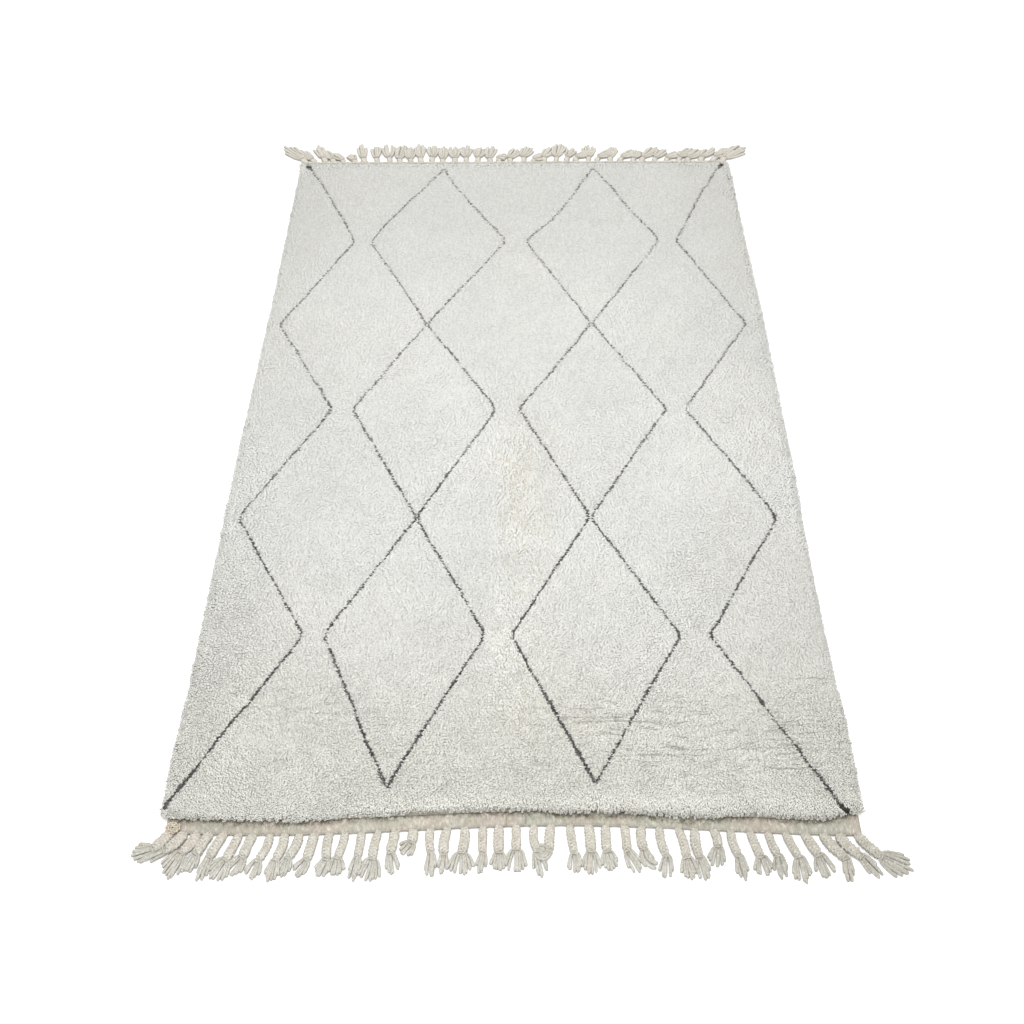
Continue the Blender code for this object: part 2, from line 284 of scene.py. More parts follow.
PLAIT_GREY = (0.446, 0.434, 0.378)
PLAIT_PINKISH = (0.474, 0.450, 0.390)
LOCK_GREY = (0.482, 0.484, 0.440)
LOCK_PINKISH = (0.516, 0.502, 0.452)
TASSEL_ROSY = (0.495, 0.440, 0.392)
TASSEL_FAR = (0.590, 0.556, 0.490)
TASSEL_RIGHT = (0.360, 0.345, 0.300)
TASSEL_LOW_SHADE = (0.41, 0.40, 0.355)
TASSEL_CREASE_SHADE = (0.270, 0.240, 0.185)
TASSEL_GROOVE_SHADE = (0.270, 0.245, 0.195)
TASSEL_FIBRE = (0.22, 0.20, 0.16)
TASSEL_FLECK = (0.250, 0.228, 0.180)
TASSEL_BRIGHT = (0.72, 0.71, 0.67)
CORD_DARK = (0.285, 0.232, 0.160)
CORD_TAN = (0.520, 0.474, 0.392)
CORD_CREASE_SHADE = (0.14, 0.10, 0.055)


class Level:
    """A number socket of a finish. Arithmetic on it adds Math nodes."""

    def __init__(self, finish, socket):
        self.finish = finish
        self.socket = socket

    def math(self, operation, *values):
        return self.finish.node("ShaderNodeMath", {"operation": operation}, *values).level(0)

    def __add__(self, other):
        return self.math("ADD", self, other)

    def __sub__(self, other):
        return self.math("SUBTRACT", self, other)

    def __rsub__(self, other):
        return self.math("SUBTRACT", other, self)

    def __mul__(self, other):
        return self.math("MULTIPLY", self, other)

    __radd__ = __add__
    __rmul__ = __mul__

    def wave(self):
        """From -1 to 1 and back once for every whole number."""
        return self.math("COSINE", self * math.tau)

    def between(self, low, high):
        """0 up to low and 1 from high on, eased."""
        settings = {"interpolation_type": "SMOOTHSTEP"}
        return self.finish.node("ShaderNodeMapRange", settings, self, low, high).level(0)


class Node:
    """A node of a finish, with its sockets by number or name."""

    def __init__(self, finish, node):
        self.finish = finish
        self.made = node

    def out(self, which):
        return self.made.outputs[which]

    def level(self, which):
        return Level(self.finish, self.made.outputs[which])


class Finish:
    """A material of one Principled shader and the nodes that feed it."""

    def __init__(self, name, **constants):
        self.material = bpy.data.materials.new(name)
        self.material.use_nodes = True
        self.tree = self.material.node_tree
        self.shader = self.tree.nodes["Principled BSDF"]
        self.feed(**constants)
        self.place = self.node("ShaderNodeTexCoord", {}).out("Object")

    def put(self, value, socket):
        """Link or set one socket. A colour is given without its alpha."""
        if isinstance(value, Level):
            value = value.socket
        if isinstance(value, bpy.types.NodeSocket):
            self.tree.links.new(value, socket)
        elif socket.type == "RGBA":
            socket.default_value = (*value, 1.0)
        else:
            socket.default_value = value

    def node(self, kind, settings, *values, **named):
        """A node of one type, with its settings and the values or links of its sockets."""
        made = self.tree.nodes.new(kind)
        for setting, value in settings.items():
            setattr(made, setting, value)
        for index, value in enumerate(values):
            self.put(value, made.inputs[index])
        for name, value in named.items():
            self.put(value, made.inputs[name.replace("_", " ")])
        return Node(self, made)

    def feed(self, **sockets):
        for name, value in sockets.items():
            self.put(value, self.shader.inputs[name.replace("_", " ")])

    def attribute(self, name):
        return self.node("ShaderNodeAttribute", {"attribute_name": name}).level("Fac")

    def axes(self):
        """How far across, along and up each place is."""
        apart = self.node("ShaderNodeSeparateXYZ", {}, self.place)
        return apart.level(0), apart.level(1), apart.level(2)

    def mottle(self, scale, detail=2.0, roughness=0.5, stretch=None):
        """Soft noise, about 0.5 in the middle. stretch scales the places each way first."""
        place = self.place
        if stretch is not None:
            place = self.node("ShaderNodeMapping", {}, place, Scale=stretch).out(0)
        found = self.node("ShaderNodeTexNoise", {}, Vector=place, Scale=scale, Detail=detail,
                          Roughness=roughness)
        return found.level("Fac")

    def mix(self, share, first, second):
        """A colour between two colours."""
        found = self.node("ShaderNodeMix", {"data_type": "RGBA"}, share)
        self.put(first, found.made.inputs[6])
        self.put(second, found.made.inputs[7])
        return found.out(2)

    def bump(self, height, distance, strength):
        return self.node("ShaderNodeBump", {}, Strength=strength, Distance=distance,
                         Height=height).out(0)


def woollen(name, roughness, sheen, gloss):
    """The finish of a wool, matt with a faint sheen."""
    return Finish(name, Roughness=roughness, Sheen_Weight=sheen, Sheen_Roughness=0.6,
                  Specular_IOR_Level=gloss)


def pile_wool():
    """Undyed ivory wool, with charcoal wool where a knot is dyed."""
    wool = woollen("ivory_pile_wool", 0.92, 0.06, 0.12)
    tint = wool.attribute("tint")
    dye = wool.attribute("dye")
    shade = wool.attribute("shade")
    height = wool.attribute("height")
    grain = wool.mottle(250.0, 2.0, 0.6)
    across, along, _ = wool.axes()
    calm = along.between(-1.30, -0.15)              # less painted shade, fibre contrast and relief toward the far end
    near = (along * -1.0).between(0.30, 1.30) * 0.70
    far = along.between(0.45, 1.05) * 0.5
    sides = (across * across).between(0.15, 0.65) * 0.22
    ivory = wool.mix(wool.mottle(2.2, 2.0).between(0.40, 0.62), PILE_GREY, PILE_CREAM)
    ivory = wool.mix(near, ivory, PILE_NEAR)
    ivory = wool.mix(far, ivory, PILE_FAR)
    ivory = wool.mix(sides, ivory, PILE_SIDES)
    warm = wool.mix(tint.between(0.55, 1.6), ivory, PILE_YELLOWED)
    # painted shade toward the tufts' roots, in the valleys between them, weaker toward the far end
    root = wool.mix(calm * 0.8, PILE_ROOT_SHADE, PILE_CALM_ROOT_SHADE)
    root_shaded = wool.mix(height.between(0.10, 0.80), root, warm)
    shaded = wool.mix(shade * (0.28 - calm * 0.05), root_shaded, PILE_SHADED)
    fibres = wool.mix(0.28 - calm * 0.17, shaded, PILE_FIBRE)
    shaded = wool.mix(grain.between(0.32, 0.66), fibres, shaded)
    # the dyed tufts also get painted shade toward their roots
    dark = wool.mix(height, CHARCOAL_ROOT_SHADE, CHARCOAL_TIP)
    relief = wool.bump(grain * (0.8 - calm * 0.45), 0.0014, 0.8)
    wool.feed(Base_Color=wool.mix(dye, shaded, dark), Normal=relief)
    return wool.material


def band_wool():
    """Flat-woven wool of mixed beiges, its wefts showing as fine cross ribs."""
    wool = woollen("woven_band_wool", 0.94, 0.12, 0.15)
    across, along, up = wool.axes()
    pinkish = wool.mottle(11.0, 2.0, stretch=(1.0, 0.5, 1.0)).between(0.44, 0.64)
    greenish = wool.mottle(8.0, 1.0, stretch=(1.0, 0.4, 3.0)).between(0.46, 0.66)
    sides = (across * across).between(0.08, 0.55) * 0.16
    far = along.between(1.0, 1.2)
    yarn = wool.mottle(150.0, 3.0, 0.65, stretch=(1.0, 0.55, 1.0))
    beige = wool.mix(pinkish, BAND_BEIGE, BAND_PINKISH)
    beige = wool.mix(greenish, beige, BAND_GREENISH)
    beige = wool.mix(sides, beige, BAND_SIDES)
    beige = wool.mix(far, beige, BAND_FAR)
    beige = wool.mix(yarn.between(0.32, 0.60), wool.mix(0.52, beige, BAND_SUNK), beige)
    beige = wool.mix(yarn.between(0.56, 0.72) * 0.6, beige, BAND_RAISED)
    # painted shadow along the band's low outer side, except on the far band
    beige = wool.mix(up.between(0.0004, 0.0036) * (1.0 - far) + far, BAND_LOW_SHADOW, beige)
    # painted shadow on the near band under the pile's overhanging tips
    seam = wool.attribute("seam") * wool.mottle(120.0, 3.0, 0.7).between(0.40, 0.62)
    beige = wool.mix(seam * 0.95, beige, BAND_SEAM_SHADOW)
    wool.feed(Base_Color=beige, Normal=wool.bump(yarn, 0.0016, 0.9))
    return wool.material


def tassel_wool():
    """Ivory wool of the plaits and locks, a little greyer or pinker from tassel to tassel."""
    wool = woollen("tassel_wool", 0.92, 0.10, 0.15)
    tint = wool.attribute("tint")
    crease = wool.attribute("crease")
    groove = wool.attribute("turns").wave()
    across, along, up = wool.axes()
    loose = along.math("ABSOLUTE", along).between(1.275, 1.335)
    far = along.between(1.15, 1.25)
    right = across.between(0.20, 0.60) * (1.0 - far)
    fibres = wool.mottle(420.0, 3.0)
    flecks = wool.mottle(200.0, 2.0, 0.6).between(0.54, 0.72)
    plaited = wool.mix(tint, PLAIT_GREY, PLAIT_PINKISH)
    ivory = wool.mix(loose, plaited, wool.mix(tint, LOCK_GREY, LOCK_PINKISH))
    ivory = wool.mix(wool.mottle(9.0, 1.0).between(0.55, 0.68) * 0.45, ivory, TASSEL_ROSY)
    ivory = wool.mix(far * 0.60, ivory, TASSEL_FAR)
    ivory = wool.mix(right * 0.55, ivory, TASSEL_RIGHT)
    # painted shade on the low parts, near the floor
    ivory = wool.mix(up.between(0.0, 0.006) * 0.5 + 0.5, TASSEL_LOW_SHADE, ivory)
    # painted shade along the sides of each yarn, where it meets the next
    ivory = wool.mix(crease.between(0.35, 1.0) * (far * 0.24 + 0.60), ivory, TASSEL_CREASE_SHADE)
    # painted shade in the grooves between the plies
    ivory = wool.mix(groove.between(0.1, 1.0) * 0.40, ivory, TASSEL_GROOVE_SHADE)
    ivory = wool.mix(fibres.between(0.30, 0.60), wool.mix(0.26, ivory, TASSEL_FIBRE), ivory)
    ivory = wool.mix(flecks * 0.55, ivory, TASSEL_FLECK)
    ivory = wool.mix(wool.mottle(230.0, 1.0).between(0.55, 0.72) * 0.45, ivory, TASSEL_BRIGHT)
    wool.feed(Base_Color=ivory, Normal=wool.bump(fibres - groove * 0.35, 0.0014, 0.8))
    return wool.material


def cord_wool():
    """Tan wool of the selvedge cord's end."""
    wool = woollen("selvedge_cord_wool", 0.92, 0.2, 0.2)
    crease = wool.attribute("crease")
    strands = wool.mottle(300.0, 2.0)
    tan = wool.mix(strands.between(0.35, 0.6), CORD_DARK, CORD_TAN)
    # painted shade along the sides of each ply
    tan = wool.mix(crease.between(0.40, 0.95) * 0.8, tan, CORD_CREASE_SHADE)
    wool.feed(Base_Color=tan, Normal=wool.bump(strands, 0.001, 0.7))
    return wool.material


# ---------------------------------------------------------------- shapes modelled once

def add_alone(add, **settings):
    """Add a primitive with nothing else selected, and return it."""
    bpy.ops.object.select_all(action="DESELECT")
    add(**settings)
    return bpy.context.object


def apply_place():
    """Keep the place, turn and scale of the piece in its mesh."""
    bpy.ops.object.transform_apply(location=True, rotation=True, scale=True)


def pick(piece, kind, wanted):
    """Go into edit mode with only the wanted corners or edges of a piece selected."""
    bpy.ops.object.mode_set(mode="EDIT")
    bpy.ops.mesh.select_mode(type=kind)
    bpy.ops.mesh.select_all(action="DESELECT")
    bpy.ops.object.mode_set(mode="OBJECT")
    for part in piece.data.vertices if kind == "VERT" else piece.data.edges:
        part.select = wanted(part)
    bpy.ops.object.mode_set(mode="EDIT")


def taken_shape(piece):
    """The shape's points and triangles as arrays; the modelled piece itself is put away."""
    bpy.ops.object.mode_set(mode="OBJECT")
    apply_place()
    mesh = piece.data
    mesh.calc_loop_triangles()
    points = np.array([vert.co for vert in mesh.vertices])
    triangles = np.array([tri.vertices for tri in mesh.loop_triangles])
    bpy.data.objects.remove(piece, do_unlink=True)
    return Shape(points[:, 0], points[:, 1], points[:, 2], triangles)


def turned_outwards(piece):
    """The finished shape, with its faces turned outwards first."""
    bpy.ops.mesh.select_all(action="SELECT")
    bpy.ops.mesh.normals_make_consistent(inside=False)
    return taken_shape(piece)


def tuft_shape():
    """A tuft one unit high and about as wide: a narrow root, a full belly and a pointed tip."""
    piece = add_alone(bpy.ops.mesh.primitive_circle_add, vertices=4, radius=0.34,
                      fill_type="NGON", rotation=(0.0, 0.0, math.radians(45.0)))
    bpy.ops.object.mode_set(mode="EDIT")
    bpy.ops.mesh.select_all(action="SELECT")
    bpy.ops.mesh.extrude_region_move(TRANSFORM_OT_translate={"value": (0.0, 0.0, 0.70)})
    bpy.ops.transform.resize(value=(1.62, 1.62, 1.0))
    bpy.ops.mesh.extrude_region_move(TRANSFORM_OT_translate={"value": (0.0, 0.0, 0.30)})
    bpy.ops.mesh.merge(type="CENTER")
    return turned_outwards(piece)


def tuft_end_shape():
    """A tuft's end one unit long, broad and high: a ridge over a foot that lies across it."""
    piece = add_alone(bpy.ops.mesh.primitive_plane_add, size=math.sqrt(0.5),
                      rotation=(0.0, 0.0, math.radians(45.0)))
    apply_place()
    pick(piece, "VERT", lambda corner: abs(corner.co.x) > 0.25)
    bpy.ops.transform.translate(value=(0.0, 0.0, 1.0))
    bpy.ops.mesh.select_all(action="SELECT")
    bpy.ops.mesh.convex_hull(delete_unused=True, use_existing_faces=False, join_triangles=False)
    return turned_outwards(piece)


def yarn_shape(sides, steps):
    """A straight yarn one unit long and two wide, closed at both ends, cut into even steps."""
    piece = add_alone(bpy.ops.mesh.primitive_cylinder_add, vertices=sides, radius=1.0, depth=1.0,
                      end_fill_type="NGON", location=(0.0, 0.0, 0.5))
    apply_place()

    def upright(edge):
        low, high = (piece.data.vertices[index].co.z for index in edge.vertices)
        return abs(high - low) > 0.5

    pick(piece, "EDGE", upright)
    bpy.ops.mesh.subdivide(number_cuts=steps - 1)
    bpy.ops.mesh.select_mode(type="VERT")
    return taken_shape(piece)


def slab_shape(columns, rows):
    """A flat slab two units wide and long and one high, its top and foot cut into even cells."""
    piece = add_alone(bpy.ops.mesh.primitive_grid_add, x_subdivisions=columns,
                      y_subdivisions=rows, size=2.0, location=(0.0, 0.0, 1.0))
    bpy.ops.object.mode_set(mode="EDIT")
    bpy.ops.mesh.select_all(action="SELECT")
    bpy.ops.mesh.extrude_region_move(TRANSFORM_OT_translate={"value": (0.0, 0.0, -1.0)})
    return turned_outwards(piece)


def joined_copies(name, points, triangles, finish, **values):
    """One mesh of many copies of a shape. points is by copy, corner and axis; each of values
    is one number for each copy, or for each copy's corner, kept on the mesh under its name."""
    copies, corners = points.shape[:2]
    first = np.arange(copies)[:, None, None] * corners
    faces = (triangles[None] + first).reshape(-1, 3)
    mesh = bpy.data.meshes.new(name)
    mesh.vertices.add(copies * corners)
    mesh.vertices.foreach_set("co", points.reshape(-1).astype(np.float32))
    mesh.loops.add(faces.size)
    mesh.loops.foreach_set("vertex_index", faces.reshape(-1).astype(np.int32))
    mesh.polygons.add(len(faces))
    mesh.polygons.foreach_set("loop_start", np.arange(0, faces.size, 3, dtype=np.int32))
    mesh.update(calc_edges=True)
    mesh.validate()
    for value_name, value in values.items():
        value = np.asarray(value, np.float32)
        spread = value if value.ndim == 2 else np.repeat(value[:, None], corners, 1)
        kept = mesh.attributes.new(value_name, "FLOAT", "POINT")
        kept.data.foreach_set("value", spread.reshape(-1).astype(np.float32))
    mesh.shade_smooth()
    mesh.materials.append(finish)
    piece = bpy.data.objects.new(name, mesh)
    bpy.context.scene.collection.objects.link(piece)
    return piece


# ---------------------------------------------------------------- places worked out

def near_edge(x):
    """Outer edge of the near band at x."""
    return NEAR_EDGE + NEAR_BOW * np.cos(math.tau * (x - NEAR_BOW_CENTRE) / NEAR_BOW_PERIOD)


def far_edge(x):
    """Outer edge of the far band at x."""
    return FAR_EDGE + 0.0 * x


def eased(share):
    """From 0 to 1, slow at both ends."""
    share = np.clip(share, 0.0, 1.0)
    return share * share * (3.0 - 2.0 * share)


def field(x, y, length, layer=0.0):
    """Smooth noise from -1 to 1 at the points, its lumps about length across."""
    return np.array([noise.noise(Vector((u, v + 0.37, layer + 0.5)))
                     for u, v in zip(x.ravel() / length, y.ravel() / length)]).reshape(x.shape)


class PileSolid:
    """The pile's solid from the frame, asked for its top and its rim."""

    def __init__(self):
        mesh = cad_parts["pile_field"].data
        corners = [vert.co.copy() for vert in mesh.vertices]
        self.tree = BVHTree.FromPolygons(corners, [tuple(p.vertices) for p in mesh.polygons])
        self.x = np.linspace(-0.80, 0.80, 129)
        self.y = np.linspace(-1.25, 1.25, 201)
        self.tops = np.array([[self.height_over(x, y) for y in self.y] for x in self.x])

    def height_over(self, x, y):
        """Height of the solid's top over one place, or a usual one beside it."""
        hit = self.tree.ray_cast(Vector((x, y, 1.0)), Vector((0.0, 0.0, -1.0)))[0]
        return RIM_HEIGHT + 0.003 if hit is None else hit.z

    def top(self, x, y):
        """Height of the pile's top, eased between the points of a grid."""
        across = np.clip((x - self.x[0]) / (self.x[1] - self.x[0]), 0.0, len(self.x) - 1.001)
        along = np.clip((y - self.y[0]) / (self.y[1] - self.y[0]), 0.0, len(self.y) - 1.001)
        i, j = across.astype(int), along.astype(int)
        a, b = across - i, along - j
        low = self.tops[i, j] * (1.0 - a) + self.tops[i + 1, j] * a
        high = self.tops[i, j + 1] * (1.0 - a) + self.tops[i + 1, j + 1] * a
        return low * (1.0 - b) + high * b

    def side_reach(self, along, sign):
        """How far out the rim stands on the left or the right at each place along it."""
        reaches = []
        for y in along:
            start = Vector((3.0 * sign, y, RIM_HEIGHT))
            hit = self.tree.ray_cast(start, Vector((-sign, 0.0, 0.0)))[0]
            reaches.append(0.0 if hit is None else abs(hit.x))
        return np.array(reaches)


# ---------------------------------------------------------------- pile

PatternRow = namedtuple("PatternRow", "along left a_left a_right b_left b_right right")
PATTERN = [PatternRow(*row) for row in (    # where the diamond lines turn, row by row
    (1.222, -0.772, -0.261, -0.261, 0.293, 0.293, 0.776),
    (1.195, -0.755, -0.261, -0.259, 0.291, 0.295, 0.758),
    (1.145, -0.726, -0.291, -0.238, 0.264, 0.325, 0.730),
    (1.090, -0.697, -0.322, -0.213, 0.238, 0.351, 0.700),
    (1.030, -0.668, -0.360, -0.178, 0.208, 0.381, 0.671),
    (0.960, -0.634, -0.402, -0.136, 0.175, 0.414, 0.638),
    (0.880, -0.596, -0.450, -0.087, 0.121, 0.455, 0.606),
    (0.785, -0.553, -0.498, -0.027, 0.041, 0.503, 0.562),
    (0.375, -0.758, -0.280, -0.280, 0.253, 0.253, 0.751),
    (0.010, -0.548, -0.487, -0.051, 0.018, 0.462, 0.518),
    (-0.390, -0.767, -0.270, -0.270, 0.214, 0.214, 0.735),
    (-0.760, -0.540, -0.487, -0.071, -0.004, 0.431, 0.506),
    (-1.148, -0.770, -0.302, -0.288, 0.193, 0.196, 0.7255),
    (-1.159, -0.776, -0.295, -0.293, 0.193, 0.196, 0.7315),
    (-1.205, -0.806, -0.295, -0.293, 0.193, 0.196, 0.757),
)]
LINES = PatternRow._fields[1:]
LINE_ENDS = {"left": (-1.205, 1.222), "a": (-1.159, 1.193), "b": (-1.148, 1.197),
             "right": (-1.205, 1.222)}
LINE_ROUNDING = 0.009                       # how far from a turning point a line starts to turn
LINE_WANDERS = ((0.0032, 0.045, 0.0), (0.0016, 0.014, 5.0))     # how far, over what length, layer
LINE_REACH = 0.0027                         # half a line's width, on average
LINE_SWELL = 0.0021                         # how far that swells and thins out along the line,
LINE_BEAD = 0.0010                          # and from knot to knot
LINE_BEAD_PITCH = 0.0088
LINE_FRAY = 0.0030                          # how far past its edge single tufts are dyed too,
LINE_HAZE = 0.011                           # and how far out they are faintly greyed
LINE_FINER = ((-0.90, 0.80), (1.0, 0.62))   # the lines grow finer along the rug,
LINE_SOFTNESS = ((-0.60, 0.30, 1.0), (0.0005, 0.0022, 0.0034))      # softer at their edges
LINE_STRENGTH = ((-0.4, 0.2, 1.18, 1.21), (1.0, 0.86, 0.86, 1.0))   # and paler
Stretch = namedtuple("Stretch", "line first last more")
HEAVY = [Stretch(*row) for row in (         # where a line is dyed wider, in metres more
    ("left", 1.200, 1.24, 0.0050),
    ("right", 1.195, 1.24, 0.0040),
    ("left", -1.22, -1.12, 0.0012),
    ("b_left", -1.135, -1.02, 0.0018),
    ("b_left", -0.98, -0.93, 0.0015),
    ("left", -0.06, 0.06, 0.0012),
    ("a_right", -0.02, 0.04, 0.0012),
)]
BLOB = (0.7650, -1.2120, 0.0085, 0.0125)    # the last knots of the right line, set close
BLOB_SLANT = 0.70

# Where the tips of the pile end over the near band, from the photo
NEAR_TIPS = ((-0.810, -1.2280), (-0.789, -1.2302), (-0.636, -1.2371), (-0.488, -1.2407),
             (-0.377, -1.2278), (-0.282, -1.2247), (-0.218, -1.2161), (-0.018, -1.2121),
             (0.123, -1.2195), (0.247, -1.2195), (0.300, -1.2206), (0.341, -1.2291),
             (0.404, -1.2353), (0.462, -1.2312), (0.550, -1.2228), (0.630, -1.2311),
             (0.711, -1.2352), (0.744, -1.2290), (0.771, -1.2204), (0.806, -1.2144))

# Waves of the rows all over the rug: how far they swing, and the lengths of their waves
ROW_RIPPLE = 0.0022
ROW_RIPPLE_LENGTHS = (0.011, 0.090, 0.043)
ROW_SWING = 0.0050
ROW_SWING_LENGTHS = (0.047, 0.210)

# Where the tufts' ends point along the rug: a strip up its middle and one at its near edge
UPRIGHT_MIDDLE = (0.005, 0.075)     # centre and half width
UPRIGHT_EDGE = (-1.205, 0.030)
UPRIGHT_TURN = math.radians(78.0)

# Places where the pile is combed askew: the rows' rise there for each metre across
Combed = namedtuple("Combed", "x y reach rise")
COMBED = [Combed(*row) for row in (
    (-0.70, -1.13, 0.17, 0.70),
    (-0.61, -0.92, 0.20, 0.45),
    (-0.42, -1.02, 0.20, 0.28),
    (-0.62, -0.40, 0.25, -0.20),
    (0.25, -1.00, 0.18, -0.06),
    (0.60, -0.96, 0.22, 0.20),
    (0.70, -0.66, 0.22, 0.36),
    (0.42, -0.36, 0.28, 0.30),
    (-0.30, 0.30, 0.30, -0.20),
    (0.35, 0.70, 0.30, 0.18),
)]

# Places where the wool lies in fine creases along its rows
Creased = namedtuple("Creased", "x y wide long share")
CREASED = [Creased(*row) for row in (
    (0.38, -1.040, 0.30, 0.085, 1.0),
    (0.62, -1.020, 0.24, 0.130, 0.7),
    (0.20, -0.970, 0.16, 0.060, 0.8),
    (-0.50, -0.940, 0.34, 0.110, 0.6),
    (0.05, -1.120, 0.30, 0.060, 0.3),
)]
FOLD_PITCH = 0.0052         # a crease's width, about,
FOLD_STRETCH = 0.10         # of its noise, which makes it ten times as long
FOLD_WAVE = 0.004
FOLD_DEPTH = 0.0012         # how far the ends in a crease lie lower,
FOLD_SHADE = 1.05           # and how much darker they are

# Partings, where the pile falls away to both sides: ends, rise to the middle and depth
Parting = namedtuple("Parting", "first last along bow depth")
PARTINGS = [Parting(*row) for row in (
    (0.105, 0.280, -0.983, -0.003, 0.0016),
    (0.137, 0.354, -0.998, 0.004, 0.0014),
    (0.348, 0.414, -1.063, 0.003, 0.0012),
    (0.292, 0.366, -1.082, 0.002, 0.0012),
    (0.575, 0.735, -1.108, -0.005, 0.0012),
    (0.700, 0.790, -0.884, 0.003, 0.0008),
)]
PARTING_REACH = 0.0036
PARTING_TINT = 300.0        # for each metre of depth, as the next
PARTING_SHADE = 700.0
PARTING_LEAN = 0.002

# Places where the wool is a little yellowed or pinkish
Stain = namedtuple("Stain", "x y wide long strength")
STAINS = [Stain(*row) for row in (
    (0.17, -0.995, 0.06, 0.035, 0.34),
    (0.02, -0.32, 0.09, 0.42, 0.44),
    (0.02, -0.98, 0.11, 0.17, 0.28),
    (0.76, 0.50, 0.04, 0.10, 0.20),
    (0.00, 0.62, 0.10, 0.20, 0.14),
    (-0.30, -1.14, 0.16, 0.05, 0.16),
)]

# The rim's four sides. The tips stand back by notch where the wool parts; they and their
# heights are uneven by jitter and heave
RimSide = namedtuple("RimSide", "axis sign half heights behinds notch jitter heave")
RIM_HALF_LENGTH = 1.225
RIM_HALF_WIDTH = GROUND_HALF_WIDTH + 0.010
RIM_SIDES = (
    RimSide(0, -1.0, RIM_HALF_LENGTH, RIM_HEIGHTS, RIM_BEHINDS, 0.0014, 0.0005, 0.0009),
    RimSide(0, 1.0, RIM_HALF_LENGTH, RIM_HEIGHTS, RIM_BEHINDS, 0.0014, 0.0005, 0.0009),
    RimSide(1, -1.0, RIM_HALF_WIDTH, NEAR_RIM_HEIGHTS, NEAR_RIM_BEHINDS, 0.0105, 0.0015, 0.0009),
    RimSide(1, 1.0, RIM_HALF_WIDTH, FAR_RIM_HEIGHTS, RIM_BEHINDS, 0.0034, 0.0015, 0.0014),
)
NEAR_SIDE = RIM_SIDES[2]
FAR_SIDE = RIM_SIDES[3]

# Locks that strayed over the edge: foot, tip and the tip's height
STRAYS = (
    (-0.789, -1.186, -0.8215, -1.2110, 0.0100),
    (-0.786, -1.196, -0.8160, -1.2180, 0.0090),
    (-0.787, -1.172, -0.8140, -1.1960, 0.0120),
    (0.786, -1.044, 0.8205, -1.0480, 0.0140),
    (0.782, -1.206, 0.8180, -1.2130, 0.0150),
    (0.780, -1.200, 0.8120, -1.2060, 0.0160),
    (0.786, 0.382, 0.8130, 0.3800, 0.0120),
    (-0.786, -0.236, -0.8150, -0.2380, 0.0120),
)


def near_tips(x):
    """How far toward the camera the pile's tips reach at x."""
    x_known, y_known = np.array(NEAR_TIPS).T
    return np.interp(x, x_known, y_known)


def near_notch(x):
    """How far the tips stand back at x, where the wool parts in small notches."""
    return NEAR_SIDE.notch * np.maximum(field(x, 0.0 * x + 2.0, 0.0065, 2.0), -0.10)


def near_seam(x):
    """Inner edge of the near band at x. It runs in under the pile on the right corner."""
    first, length, depth = CORNER_SEAM
    return near_edge(x) + BAND_WIDTH + depth * eased((x - first) / length)


def near_ground(x):
    """Near edge of the woven ground at x, just behind the band."""
    return near_seam(x) + PIECE_GAP


def combed_rise(x, y):
    """How far the rows are carried along the rug at each point."""
    across, along, turns = ROW_RIPPLE_LENGTHS
    rise = ROW_RIPPLE * np.sin(x / across + 3.0 * np.sin(y / along)) * np.sin(y / turns + 2.0)
    across, along = ROW_SWING_LENGTHS
    rise += ROW_SWING * np.sin(x / across + 2.0 * np.sin(y / along))
    for place in COMBED:
        apart = ((x - place.x) ** 2 + (y - place.y) ** 2) / place.reach ** 2
        rise += place.rise * (x - place.x) * np.exp(-apart)
    return rise


def upright_share(x, y):
    """1 where the tufts' ends point along the rug and not across it, 0 elsewhere."""
    centre, half = UPRIGHT_MIDDLE
    middle = np.exp(-((x - centre) / half) ** 2) * eased((y + 1.06) / 0.12) * eased((0.05 - y) / 0.2)
    centre, half = UPRIGHT_EDGE
    edge = np.exp(-((y - centre) / half) ** 2) * eased((x + 0.45) / 0.2)
    return np.clip(middle + edge, 0.0, 1.0)


